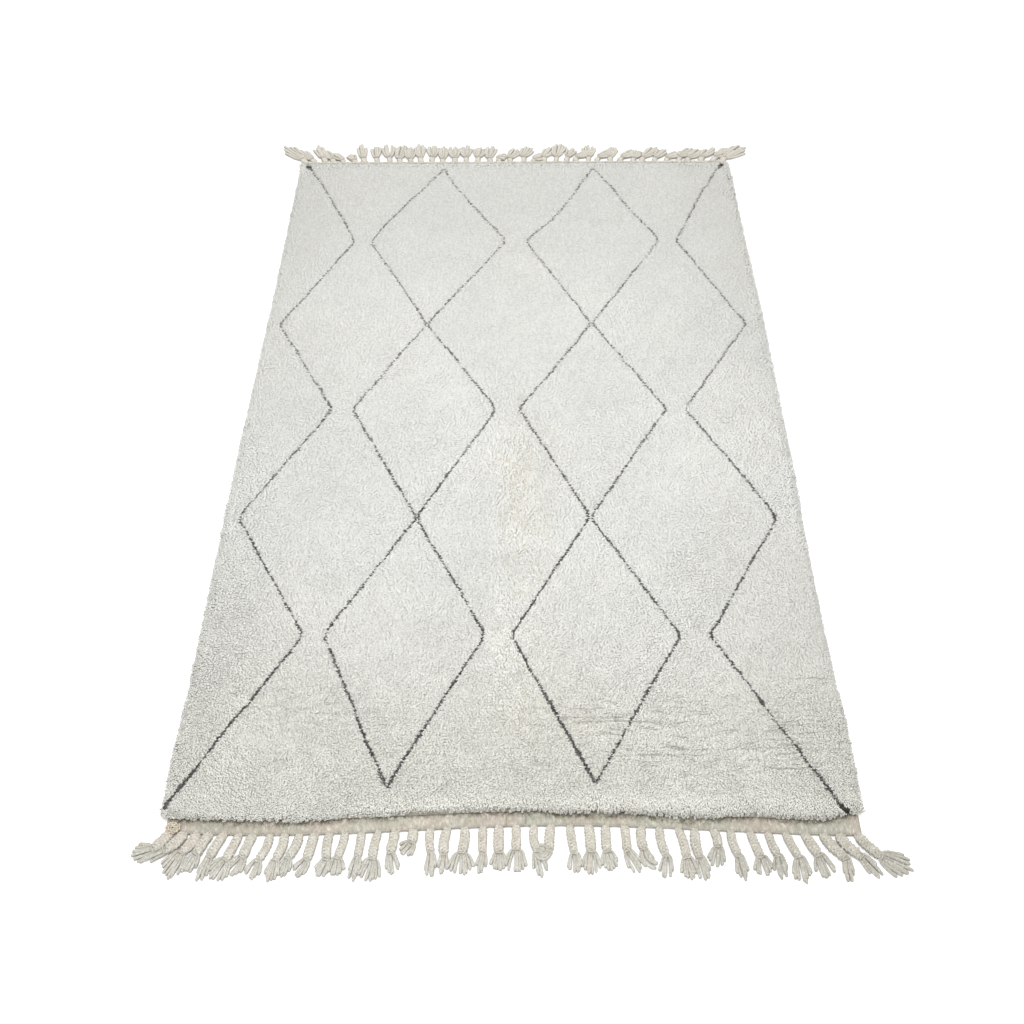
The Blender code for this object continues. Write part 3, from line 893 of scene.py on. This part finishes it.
def line_dye(x, y, chance):
    """How dark each tuft is dyed, from 0 to 1, by its distance from the broken lines."""
    dye = np.zeros(len(x))
    along = np.array([row.along for row in PATTERN][::-1])
    finer = np.interp(y, *LINE_FINER)
    for index, name in enumerate(LINES):
        across = np.array([getattr(row, name) for row in PATTERN][::-1])
        goal = (np.interp(y - LINE_ROUNDING, along, across)
                + np.interp(y + LINE_ROUNDING, along, across)) / 2.0
        for wander, length, layer in LINE_WANDERS:
            goal += wander * field(y, 0.0 * y, length, 7.0 * index + layer)
        slope = np.gradient(across, along)
        apart = np.abs(x - goal) / np.hypot(1.0, np.interp(y, along, np.abs(slope)))
        low, high = LINE_ENDS[name.split("_")[0]]
        beyond = np.maximum(low - y, 0.0) + np.maximum(y - high, 0.0)
        apart = np.hypot(apart, beyond)
        strength = field(y, 0.0 * y, 0.020, 7.0 * index + 3.0)
        beads = np.cos(math.tau * y / LINE_BEAD_PITCH + 3.0 * strength)
        reach = (LINE_REACH + LINE_SWELL * strength + LINE_BEAD * beads) * finer
        for stretch in HEAVY:
            if stretch.line == name:
                reach += stretch.more * ((y > stretch.first) & (y < stretch.last))
        inked = np.clip(1.0 - (apart - reach) / np.interp(y, *LINE_SOFTNESS), 0.0, 1.0)
        inked = inked * np.interp(y, *LINE_STRENGTH)
        dye = np.maximum(dye, inked * chance.uniform(0.80, 1.0, len(x)))
        frayed = (apart >= reach) & (apart < reach + LINE_FRAY)
        frayed &= chance.random(len(x)) < 0.24 * finer
        dye = np.maximum(dye, frayed * chance.uniform(0.25, 0.8, len(x)))
        haze = (apart < LINE_HAZE) & (chance.random(len(x)) < 0.5)
        dye = np.maximum(dye, haze * chance.uniform(0.0, 0.10, len(x)))
    blob_x, blob_y, half_wide, half_long = BLOB
    turned_x = (x - blob_x) + BLOB_SLANT * (y - blob_y)
    blob = (turned_x / half_wide) ** 2 + ((y - blob_y) / half_long) ** 2 < 1.0
    dye[blob] = 1.0
    return dye


def stained(x, y):
    """How yellowed the wool is, from 0 to 1."""
    amount = np.zeros(len(x))
    for stain in STAINS:
        apart = ((x - stain.x) / stain.wide) ** 2 + ((y - stain.y) / stain.long) ** 2
        amount += stain.strength * np.exp(-apart)
    return amount * (1.0 + 0.8 * field(x, y, 0.013, 4.0))


def creased(x, y, row):
    """How deep in a crease each point lies, from 0 to 1; row is its place before the combing."""
    share = np.zeros(len(x))
    for place in CREASED:
        apart = ((x - place.x) / place.wide) ** 2 + ((y - place.y) / place.long) ** 2
        share += place.share * np.exp(-apart)
    wavy = row + FOLD_WAVE * field(x, row, 0.05, 11.0)
    ripple = np.clip(-2.6 * field(FOLD_STRETCH * x, wavy, FOLD_PITCH, 12.0) - 0.25, 0.0, 1.0)
    return np.clip(share, 0.0, 1.0) * ripple


def coarseness(y):
    """How far apart the ends stand: closer toward the camera."""
    return np.interp(y, (-1.25, 1.25), COARSENESS)


def end_rows():
    """Rows of the places where the tufts' ends stand."""
    rows = []
    y = -END_HALF_LENGTH
    while y < END_HALF_LENGTH:
        step = END_STEP * coarseness(y)
        x = np.arange(-END_HALF_WIDTH + 0.5 * step * (len(rows) % 2), END_HALF_WIDTH, step)
        rows.append(np.stack([x, np.full(len(x), y)]))
        y += END_ROW * coarseness(y)
    return np.concatenate(rows, 1)


def end_limits(x, y):
    """Where the ends stop at each place: to the sides, at the far end and near the camera."""
    side = np.where(x < 0.0, np.interp(y, *RIM_REACH[-1.0]), np.interp(y, *RIM_REACH[1.0]))
    side = side - (SIDE_INSET + 0.0014 * field(y, x, 0.006, 13.0))
    far = FAR_EDGE - BAND_WIDTH + FAR_RIM_REACH - FAR_INSET
    far = far + END_RAGGED * field(x, 0.0 * x + 3.0, 0.006, 13.0)
    near = np.maximum(near_ground(x) - NEAR_OVERHANG, near_tips(x))
    return side, far, near


def parting_at(parting, x, y):
    """How far each place lies from a parting's line, and how much the parting fades there."""
    half = (parting.last - parting.first) / 2.0
    share = (x - (parting.first + parting.last) / 2.0) / half
    line = parting.along + parting.bow * (1.0 - share ** 2) + 0.0015 * field(x, 0.0 * x, 0.03)
    return y - line, eased((1.0 - np.abs(share)) / 0.25)


def tuft_ends(solid):
    """The ends of the tufts, which stand close together and out over the rim."""
    chance = np.random.default_rng(PILE_SEED)
    x, y = end_rows()
    x = x + END_JITTER * coarseness(y) * chance.uniform(-1.0, 1.0, len(x))
    y = y + END_JITTER * coarseness(y) * chance.uniform(-0.5, 0.5, len(x))
    slope = (combed_rise(x + 0.002, y) - combed_rise(x - 0.002, y)) / 0.004
    row = y
    y = y + combed_rise(x, y)
    side, far, near = end_limits(x, y)
    kept = (np.abs(x) < side) & (y < far) & (y > near + NEAR_INSET + near_notch(x))
    x, y, slope, row, side, far, near = (c[kept] for c in (x, y, slope, row, side, far, near))
    count = len(x)
    turn = np.arctan(slope) + END_TURN * chance.normal(size=count)
    turn += UPRIGHT_TURN * upright_share(x, y)
    swell = field(x, y, 0.035, 8.0)
    top = END_CRIMP * field(x, y, 0.009, 6.0) + END_SWELL * swell
    top = top + chance.uniform(-END_HEAVE, END_HEAVE, count)
    fallen = END_FALL[0] * (1.0 - eased((y - near) / END_FALL[1]))
    fallen += RIM_FALL[0] * (1.0 - eased(np.minimum(side - np.abs(x), far - y) / RIM_FALL[1]))
    top = solid.top(x, y) + np.interp(y, *END_WILDNESS) * top - fallen
    # shade: a darker tone at random from end to end; painted shade in the creases, the partings and
    # along the near edge is added to it below
    shade = chance.uniform(0.0, 1.0, count) ** 1.5
    tint = chance.uniform(0.0, 0.75, count) + 1.4 * stained(x, y)
    lean_x = END_SWAY * swell + chance.uniform(-END_STRAY, END_STRAY, count)
    lean_y = END_LEAN + END_SWAY * field(x, y, 0.05, 9.0)
    lean_y = lean_y + chance.uniform(-END_STRAY, END_STRAY, count)
    folds = creased(x, y, row)
    top -= FOLD_DEPTH * folds
    shade += FOLD_SHADE * folds
    shade += (0.2 + 0.9 * eased((x + 0.10) / 0.2)) * (1.0 - eased((y - near) / 0.036))
    for parting in PARTINGS:
        away, fades = parting_at(parting, x, y)
        close = fades * np.exp(-(away / PARTING_REACH) ** 2)
        top -= parting.depth * close
        tint += PARTING_TINT * parting.depth * close
        shade += (PARTING_SHADE * parting.depth * fades
                  * np.exp(-(away / (0.6 * PARTING_REACH)) ** 2))
        lean_y += np.sign(away) * PARTING_LEAN * close
    dye = line_dye(x + lean_x, y + lean_y, chance)
    wide = coarseness(y) * chance.uniform(0.86, 1.14, count) * np.interp(y, (-0.6, 0.6), (1.0, 0.84))
    wide *= 1.0 - (dye > 0.4) * np.interp(y, (-0.90, 0.60), (0.06, 0.22))
    foot = solid.top(x, y) - END_SUNK * coarseness(y) - fallen
    return Knots(x, y, foot, lean_x, lean_y, top - foot, wide, turn, dye, tint, shade)


def rim_line(solid, side, place, depth):
    """The ground's edge at each place along one of the rim's sides, and where the tips stand."""
    behind = np.interp(depth, range(RIM_LAYERS), side.behinds)
    notch = side.notch * np.maximum(field(place, 0.0 * place + 3.0 * side.axis + side.sign,
                                          0.007, 2.0), -0.2)
    if side is NEAR_SIDE:
        tip = near_tips(place)
        edge = np.maximum(near_ground(place), tip + 0.0030)
        behind *= np.maximum(edge - tip + NEAR_INSET, side.behinds[-1]) / side.behinds[-1]
        notch = near_notch(place)
    elif side is FAR_SIDE:
        edge = np.full(len(place), FAR_EDGE - BAND_WIDTH - PIECE_GAP)
        tip = edge + FAR_RIM_REACH + 0.0020 * field(place, 0.0 * place, 0.03)
    else:
        edge = np.full(len(place), side.sign * GROUND_HALF_WIDTH)
        wander = np.clip(solid.side_reach(place, side.sign) - RIM_USUAL, -RIM_WANDER, RIM_WANDER)
        tip = side.sign * (np.interp(place, *RIM_REACH[side.sign]) + 0.5 * wander)
    return edge, tip - side.sign * (behind + notch)


def rim_layer(solid, side, layer, chance):
    """One layer of whole tufts along one side: their places, leans, rises and widths."""
    along = np.arange(-side.half, side.half, RIM_STEP)
    place = along + chance.uniform(-0.5, 0.5, len(along)) * RIM_STEP
    depth = (RIM_LAYERS - 1) * (layer + chance.uniform(0.0, 1.0, len(along))) / RIM_LAYERS
    edge, tip = rim_line(solid, side, place, depth)
    tip = tip + side.jitter * chance.uniform(-1.0, 1.0, len(place))
    foot = edge - side.sign * np.interp(depth, range(RIM_LAYERS), RIM_INSETS)
    rise = np.interp(depth, range(RIM_LAYERS), side.heights)
    rise += side.heave * chance.uniform(-1.0, 1.0, len(place))
    rise -= TUFT_FOOT
    width = np.full(len(place), TUFT_WIDTH)
    sway = 0.0024 * field(place, 0.0 * place, 0.02, 5.0)
    if side.axis == 0:
        kept = place > near_tips(tip) + TUFT_INSET
        return [column[kept] for column in (foot, place, tip - foot, sway, rise, width)]
    sway -= 0.0016
    sway += 0.012 * (eased((place - 0.772) / 0.02) - eased((-0.772 - place) / 0.02))
    sway -= 0.004 * eased((-0.35 - place) / 0.3) * (side is NEAR_SIDE)
    return [place, foot, sway, tip - foot, rise, width]


def rim_tufts(solid):
    """Whole tufts along the four sides, leaning out over the ground's edge."""
    chance = np.random.default_rng(PILE_SEED + 1)
    found = [rim_layer(solid, side, layer, chance)
             for side in RIM_SIDES for layer in range(RIM_LAYERS)]
    foot_x, foot_y, tip_x, tip_y, height = np.array(STRAYS).T
    found.append([foot_x, foot_y, tip_x - foot_x, tip_y - foot_y, height - TUFT_FOOT,
                  np.full(len(STRAYS), 0.7 * TUFT_WIDTH)])
    x, y, lean_x, lean_y, rise, width = (np.concatenate(column) for column in zip(*found))
    kept = (y > near_ground(x) + TUFT_INSET) & (np.abs(x) < GROUND_HALF_WIDTH - 0.001)
    kept |= (np.abs(x) < GROUND_HALF_WIDTH + 0.003) & (y > -1.2)
    for crease in CREASES:
        kept &= (np.abs(x - crease) > 0.0024) | (y > -1.19)
    x, y, lean_x, lean_y, rise, width = (c[kept] for c in (x, y, lean_x, lean_y, rise, width))
    count = len(x)
    width = width * chance.uniform(0.80, 1.15, count)
    turn = chance.uniform(0.0, math.pi, count)
    dye = line_dye(x + 0.5 * lean_x, y + 0.5 * lean_y, chance)
    tint = chance.uniform(0.0, 0.8, count)
    shade = 0.6 * chance.uniform(0.0, 1.0, count)
    # painted shade on the rim tufts at the sides and the far end
    shade += np.interp(y, (-1.20, -1.15, 1.19, 1.20), (0.0, 0.45, 0.45, 0.5))
    foot = np.full(count, TUFT_FOOT)
    return Knots(x, y, foot, lean_x, lean_y, rise, width, turn, dye, tint, shade)


def lay_tufts(name, shape, knots, finish, across=1.0, deep=1.0, low=0.0):
    """One piece of tufts from their knots, each a turned and bent copy of the shape."""
    x, y, foot, lean_x, lean_y, rise, width, turn = (column[:, None] for column in knots[:8])
    wide = across * width * shape.across[None]
    long = deep * width * shape.deep[None]
    bend = shape.share[None] ** 1.2
    x = x + np.cos(turn) * wide - np.sin(turn) * long + lean_x * bend
    y = y + np.sin(turn) * wide + np.cos(turn) * long + lean_y * bend
    z = foot + rise * shape.share[None] ** 0.8
    height = low + (1.0 - low) * np.repeat(shape.share[None] ** 0.5, len(x), 0)
    return joined_copies(name, np.stack([x, y, z], 2), shape.triangles, finish, dye=knots.dye,
                         tint=knots.tint, shade=knots.shade, height=height)


def make_mass(solid, finish):
    """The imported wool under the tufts' ends."""
    shape = slab_shape(*MASS_CELLS)
    x = shape.across * (GROUND_HALF_WIDTH - MASS_INSET)
    near = np.maximum(near_ground(x), near_tips(x)) + MASS_INSET
    far = FAR_EDGE - BAND_WIDTH - PIECE_GAP - MASS_INSET
    y = near + (far - near) * (shape.deep + 1.0) / 2.0
    foot = GROUND_TOP - 0.0010
    z = foot + shape.share * (solid.top(x, y) - np.interp(y, (-1.25, -0.20), MASS_SUNK) - foot)
    whole = np.zeros(1)
    # the mass shows only between the ends: painted shade, as low down toward the roots
    return joined_copies("pile_mass", np.stack([x, y, z], 1)[None], shape.triangles, finish,
                         dye=whole, tint=whole + 0.4, shade=whole + 0.5, height=whole + 0.35)


def make_pile(finish):
    """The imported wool, the tufts round the rim, and four strips of tufts' ends from far to near."""
    solid = PileSolid()
    ends = tuft_ends(solid)
    shape = tuft_end_shape()
    pieces = [make_mass(solid, finish), lay_tufts("pile_rim", tuft_shape(), rim_tufts(solid), finish)]
    for index, part in enumerate(np.array_split(np.argsort(-ends.y, kind="stable"), PILE_STRIPS)):
        strip = Knots(*(column[part] for column in ends))
        pieces.append(lay_tufts(f"pile_{index + 1}", shape, strip, finish, END_LONG, END_BROAD,
                                END_FOOT))
    return pieces


# ---------------------------------------------------------------- woven ground and bands

def make_ground(finish):
    """The woven ground that the knots are tied on, uneven on top and flat below."""
    shape = slab_shape(*GROUND_CELLS)
    x = shape.across * GROUND_HALF_WIDTH
    near = near_ground(x)
    far = far_edge(x) - BAND_WIDTH - PIECE_GAP
    y = near + (far - near) * (shape.deep + 1.0) / 2.0
    z = shape.share * (GROUND_TOP + GROUND_LUMP * field(x, y, 0.03))
    return joined_copies("ground", np.stack([x, y, z], 1)[None], shape.triangles, finish)


def make_band(name, edge, away, finish):
    """A flat-woven band, ribbed over its warps and a little puckered."""
    shape = slab_shape(*BAND_CELLS[away])
    x = shape.across * BAND_HALF_LENGTH
    share = (shape.deep * away + 1.0) / 2.0
    outer = edge(x) + BAND_RAGGED * field(x, 0.0 * x, 0.05, away)
    inner = near_seam(x) if away < 0.0 else outer - BAND_WIDTH
    y = inner + (outer - inner) * share
    ribs = RIB_HEIGHT * np.cos(math.tau * x / RIB_PITCH)
    puckers = PUCKER * field(x, y, 0.022, 5.0)
    if away < 0.0:
        for crease in CREASES:
            puckers -= CREASE_DEPTH * np.exp(-((x - crease) / CREASE_WIDTH) ** 2)
            puckers += CREASE_SWELL * np.exp(-((x - crease - CREASE_BESIDE) / 0.0024) ** 2)
    z = shape.share * (BAND_THICKNESS - RIB_HEIGHT + ribs + puckers - BAND_ROUNDING * share ** 8)
    # painted shadow under the pile's tips, on the near band only
    out = near_tips(x) - SEAM_SHADOW_STAND_BACK - y
    seam = np.exp(-(np.minimum(out, 0.0) / SEAM_SHADOW_REACH[0]) ** 2)
    seam *= np.exp(-(np.maximum(out, 0.0) / SEAM_SHADOW_REACH[1]) ** 2) * (away < 0.0)
    return joined_copies(name, np.stack([x, y, z], 1)[None], shape.triangles, finish,
                         seam=seam[None])


# ---------------------------------------------------------------- yarns, plaits and cords

class Yarns:
    """Yarns of one piece, each a row of places with its half width and half height, its tint
    and its twist: how many turns of its plies come before each place."""

    def __init__(self):
        self.rows = []

    def add(self, *yarn):
        self.rows.append(yarn)

    def lay(self, name, shape, finish, plies):
        places, sides, ups, tints, twists = (np.array(column) for column in zip(*self.rows))
        ring = np.rint(shape.share * (places.shape[1] - 1)).astype(int)
        side = sides[:, ring] * shape.across[None, :, None]
        up = ups[:, ring] * shape.deep[None, :, None]
        turns = twists[:, ring] + 0.5 * plies * shape.across
        # crease: 1 along the sides of each yarn, where the finishes paint shade
        crease = np.tile(shape.across ** 2, (len(places), 1))
        return joined_copies(name, places[:, ring] + side + up, shape.triangles, finish,
                             tint=tints, crease=crease, turns=turns)


def tassel_row(row):
    """Every tassel of a row, worked out from its sections as in the solids."""
    chance = random.Random(row.seed)
    fall = random.Random(row.seed + 1)
    sway = random.Random(row.seed + 2)
    tassels = []
    for section in row.sections:
        for step in range(section.tassels):
            index = len(tassels)
            share = step / (section.tassels - 1)
            root = section.first_root + (section.last_root - section.first_root) * share
            lean = section.first_lean + (section.last_lean - section.first_lean) * share
            root += chance.uniform(-ROOT_JITTER, ROOT_JITTER)
            reach = section.reach + chance.uniform(-REACH_JITTER, REACH_JITTER)
            reach = row.short.get(index, reach)
            degrees, millimetres = row.fans[index]
            neck = row.necks.get(index, row.neck + fall.uniform(-0.05, 0.06))
            stout = row.stout + CORNER_STOUT * eased((abs(root) - 0.60) / 0.12)
            stout *= fall.uniform(0.94, 1.10)
            tassels.append(Tassel(root, lean, reach, math.radians(degrees), 0.001 * millimetres,
                                  neck, stout, row.curl.get(index, 0.0), sway.uniform(-BOW, BOW),
                                  sway.uniform(-SLANT, SLANT)))
    return tassels


class TasselLine:
    """The middle line of one tassel on the floor, from inside the band to past its tip. The
    plait keeps the lean of its row; from the neck on, the line takes its own turn and curl."""

    def __init__(self, tassel, edge_y, away):
        self.share = np.linspace(-0.15, 1.25, 71)
        bent = (4.0 * BEND - 1.0) * self.share + (2.0 - 4.0 * BEND) * self.share ** 2
        x = tassel.root + tassel.lean * bent + tassel.slant * self.share
        x = x + tassel.bow * np.sin(math.pi * np.clip(self.share / tassel.neck, 0.0, 1.0))
        y = edge_y + away * tassel.reach * self.share
        length = np.hypot(np.gradient(x), np.gradient(y))
        heading = np.arctan2(np.gradient(y), np.gradient(x))
        turned = eased((self.share - tassel.neck + 0.10) / 0.22)
        heading = heading + turned * (away * (math.pi / 2.0 - tassel.turn) - heading)
        curled = np.clip((self.share - tassel.neck + 0.06) / (1.0 - tassel.neck), 0.0, 1.0)
        heading = heading + tassel.curl * curled ** 1.5
        self.x = x[0] + np.cumsum(length * np.cos(heading)) - length[0] * math.cos(heading[0])
        self.y = y[0] + np.cumsum(length * np.sin(heading)) - length[0] * math.sin(heading[0])
        self.heading = heading
        self.run = np.cumsum(length)

    def at(self, share, across, height):
        """Places at shares of the length, set over to the side and up, and their directions."""
        heading = np.interp(share, self.share, self.heading)
        side = np.stack([np.sin(heading), -np.cos(heading), 0.0 * heading], 1)
        x = np.interp(share, self.share, self.x)
        y = np.interp(share, self.share, self.y)
        place = np.stack([x, y, height], 1) + side * across[:, None]
        along = np.gradient(place, axis=0)
        along /= np.linalg.norm(along, axis=1)[:, None]
        flat = np.stack([along[:, 1], -along[:, 0], 0.0 * heading], 1)
        flat /= np.linalg.norm(flat, axis=1)[:, None]
        return place, flat

    def distance(self, share):
        return np.interp(share, self.share, self.run) - np.interp(0.0, self.share, self.run)


DOWN = np.array([0.0, 0.0, -1.0])


def add_plait(yarns, line, tassel, tint, chance):
    """Three strands passing over and under each other, from the band's edge to the neck."""
    share = np.linspace(-0.02, tassel.neck + 0.04, PLAIT_STEPS + 1)
    start = chance.uniform(0.0, math.tau)
    risen = eased((share + 0.02) / 0.14)
    narrow = tassel.stout * (1.0 - 0.36 * eased((share - tassel.neck + 0.10) / 0.12))
    narrow *= 0.70 + 0.30 * risen
    for strand in range(3):
        turn = start + math.tau * (line.distance(share) / PLAIT_PITCH + strand / 3.0)
        across = STRAND_SWAY * narrow * np.sin(turn)
        lift = (0.0019 + STRAND_LIFT * np.sin(2.0 * turn)) * (0.3 + 0.7 * risen)
        place, side = line.at(share, across, 0.0032 * narrow + lift)
        shade = tint + chance.uniform(-0.16, 0.16)
        yarns.add(place, side * STRAND_WIDE * narrow[:, None],
                  DOWN * (STRAND_HIGH * narrow)[:, None], shade, line.distance(share) / PLY_PITCH)


def add_wrap(yarns, line, tassel, tint):
    """The yarn bound round a tassel's neck."""
    turn = np.linspace(0.0, math.tau * WRAP_TURNS, PLAIT_STEPS + 1)
    middle, side = line.at(np.array([tassel.neck + 0.01, tassel.neck + 0.03]), np.zeros(2),
                           np.zeros(2))
    side = side[0]
    along = np.array([-side[1], side[0], 0.0])
    out = np.cos(turn)[:, None] * side - np.sin(turn)[:, None] * DOWN
    place = middle[0] - DOWN * (0.0010 + WRAP_HIGH * tassel.stout)
    place = place + side * (WRAP_WIDE * tassel.stout * np.cos(turn))[:, None]
    place = place - DOWN * (WRAP_HIGH * tassel.stout * np.sin(turn))[:, None]
    yarns.add(place, out * 0.0008, np.tile(along * 0.0016, (len(turn), 1)), tint, 0.2 * turn)


def add_locks(yarns, line, tassel, tint, away, chance):
    """The loose yarns beyond a tassel's neck, spread over the floor in blunt lobes."""
    kind = LOCK_KINDS[away]
    fuller = kind.reach * chance.uniform(kind.least, kind.most)
    rounding = kind.rounding * (abs(tassel.curl) < 2.0)
    lobes = min(LOCKS, max(3, round(tassel.spread / kind.lobe)))
    half = 0.5 * (tassel.spread * kind.spread - kind.lobe)
    share_in = 1.0 - (1.0 - np.linspace(0.0, 1.0, LOCK_STEPS + 1)) ** 1.5
    parting = chance.choice((-0.35, 0.3, 2.0))      # where the locks part, if they do
    for lock in range(LOCKS):
        lobe = lock % lobes
        spread = 2.0 * lobe / (lobes - 1) - 1.0
        tip = spread * half + 0.22 * kind.lobe * chance.uniform(-1.0, 1.0)
        tip += 0.0030 * math.copysign(1.0, spread - parting) * (abs(spread - parting) < 0.5)
        forward = 1.0 - rounding * abs(spread) ** 1.8 + chance.uniform(-0.08, 0.04)
        forward -= 0.08 * (lock // lobes)
        share = tassel.neck - 0.03 + forward * (fuller * (1.02 - tassel.neck) + 0.03) * share_in
        across = 0.0044 * spread + (tip - 0.0044 * spread) * share_in ** 0.48
        across = across + 0.0005 * np.sin(6.0 * share_in + 9.0 * spread)
        thick = np.interp(share_in, *LOCK_WIDTHS) * kind.thick * chance.uniform(0.88, 1.10)
        stacked = (0.0010 * chance.random() + 0.0026 * (lock // lobes)) * (1.0 - 0.5 * share_in)
        height = (0.0040 * (1.0 - eased(share_in / 0.5)) + stacked + thick * LOCK_FLATNESS
                  + 0.0002)
        place, side = line.at(share, across, height)
        shade = tint + chance.uniform(-0.30, 0.30)
        yarns.add(place, side * thick[:, None], DOWN * (LOCK_FLATNESS * thick)[:, None], shade,
                  0.4 * share_in + lock)


def make_tassels(name, edge, away, finish):
    """A row of plaited tassels: the plaits with their bindings, and the loose locks."""
    chance = random.Random(name)
    plaits = Yarns()
    locks = Yarns()
    for tassel in tassel_row(ROWS[name]):
        line = TasselLine(tassel, float(edge(tassel.root)), away)
        tint = chance.uniform(0.0, 1.0)
        add_plait(plaits, line, tassel, tint, chance)
        add_wrap(plaits, line, tassel, tint + 0.2)
        add_locks(locks, line, tassel, tint, away, chance)
    return [plaits.lay(f"plaits_{name}", yarn_shape(6, PLAIT_STEPS), finish, 1),
            locks.lay(f"locks_{name}", yarn_shape(6, LOCK_STEPS), finish, 3)]


def make_twining(name, edge, away, finish):
    """The two-ply cord twined along a band's outer edge, at the far end over the plaits' roots."""
    out, half, thick = TWINING_SIZES[away]
    cord = Yarns()
    ends = np.linspace(-BAND_HALF_LENGTH, BAND_HALF_LENGTH, TWINING_LENGTHS + 1)
    for start, end in zip(ends, ends[1:]):
        x = np.linspace(start, end, TWINING_STEPS + 1)
        for ply in range(2):
            turn = math.tau * (x / TWINING_PITCH + ply / 2.0)
            y = edge(x) + away * out + 0.8 * half * np.cos(turn)
            z = TWINING_FOOT + thick + TWINING_LIFT * np.sin(turn)
            place = np.stack([x, y, z], 1)
            side = np.tile([0.0, -half, 0.0], (len(x), 1))
            up = np.tile(DOWN * thick, (len(x), 1))
            cord.add(place, side, up, 0.4 + 0.2 * ply, 0.0 * x)
    return cord.lay(name, yarn_shape(4, TWINING_STEPS), finish, 1)


def make_knot(finish):
    """The end of the selvedge cord, wound into a flat spiral on the band's corner."""
    cord = Yarns()
    share = np.linspace(0.0, 1.0, KNOT_STEPS + 1)
    turn = math.tau * KNOT_TURNS * share
    radius = KNOT_EYE + (KNOT_REACH - KNOT_EYE) * share
    for ply in range(2):
        twist = 2.0 * math.tau * KNOT_TURNS * KNOT_TWISTS * share ** 1.5 + math.pi * ply
        out = radius + KNOT_PLY * np.cos(twist)
        x = KNOT_CENTRE[0] + KNOT_STRETCH * out * np.cos(turn)
        y = KNOT_CENTRE[1] + out * np.sin(turn)
        z = BAND_THICKNESS + PIECE_GAP + KNOT_LIFT + KNOT_PLY * np.sin(twist) - 0.0008 * share
        z = z + KNOT_BUCKLE * np.sin(7.0 * turn)
        place = np.stack([x, y, z], 1)
        along = np.gradient(place, axis=0)
        side = np.stack([along[:, 1], -along[:, 0], 0.0 * x], 1)
        side /= np.linalg.norm(side, axis=1)[:, None]
        up = np.tile(DOWN * KNOT_HALF_HEIGHT, (len(x), 1))
        cord.add(place, side * KNOT_HALF_WIDTH, up, 0.3 + 0.4 * ply, turn)
    return cord.lay("corner_cord", yarn_shape(6, KNOT_STEPS), finish, 1)


# ---------------------------------------------------------------- camera, light and floor

def make_camera():
    """The camera that took the photo, as fitted to the corners of the pile."""
    data = bpy.data.cameras.new("camera")
    data.lens = CAMERA_LENS
    data.sensor_width = CAMERA_SENSOR
    camera = bpy.data.objects.new("camera", data)
    turn = (Matrix.Rotation(CAMERA_LEFT, 4, "Z")
            @ Matrix.Rotation(math.pi / 2.0 - CAMERA_DOWN, 4, "X")
            @ Matrix.Rotation(CAMERA_ROLL, 4, "Z"))
    camera.matrix_world = Matrix.Translation(CAMERA_PLACE) @ turn
    bpy.context.scene.collection.objects.link(camera)
    bpy.context.scene.camera = camera


def make_studio():
    """A pale floor and soft light from all round, a little stronger over the middle."""
    floor = add_alone(bpy.ops.mesh.primitive_plane_add, size=FLOOR_SIZE)
    floor.name = "floor"
    floor.data.materials.append(Finish("pale_floor", Roughness=0.9, Base_Color=FLOOR_PALE).material)
    world = bpy.data.worlds.new("studio")
    world.use_nodes = True
    sky = world.node_tree.nodes["Background"]
    sky.inputs["Color"].default_value = (1.0, 1.0, 1.0, 1.0)
    sky.inputs["Strength"].default_value = SKY_STRENGTH
    bpy.context.scene.world = world
    lamp = bpy.data.lights.new("softbox", "AREA")
    lamp.shape = "SQUARE"
    lamp.size = LAMP_SIZE
    lamp.energy = LAMP_POWER
    light = bpy.data.objects.new("softbox", lamp)
    turn = (LAMP_AIM - LAMP_PLACE).to_track_quat("-Z", "Y").to_matrix().to_4x4()
    light.matrix_world = Matrix.Translation(LAMP_PLACE) @ turn
    bpy.context.scene.collection.objects.link(light)
    bpy.context.scene.view_settings.view_transform = "Standard"


def settle(pieces, slot, *nodes):
    """Every piece rides on the one body and stands for its solids; slot is not used."""
    for piece in pieces:
        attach(piece, "root")
        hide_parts(*nodes)


def main():
    make_camera()
    make_studio()
    band_finish, tassel_finish = band_wool(), tassel_wool()
    pile = make_pile(pile_wool())
    ground = make_ground(band_finish)
    settle([ground, *pile], "wool_pile", "pile_field")
    knot = make_knot(cord_wool())
    settle([knot], "selvedge_cord", "corner_knot")
    for end, edge, away, extra in (("near", near_edge, -1.0, [knot]), ("far", far_edge, 1.0, [])):
        band = make_band(f"band_{end}", edge, away, band_finish)
        fringe = make_tassels(end, edge, away, tassel_finish)
        fringe.append(make_twining(f"twining_{end}", edge, away, band_finish))
        settle([band, *fringe], "woven_band", f"fringe_{end}")


main()
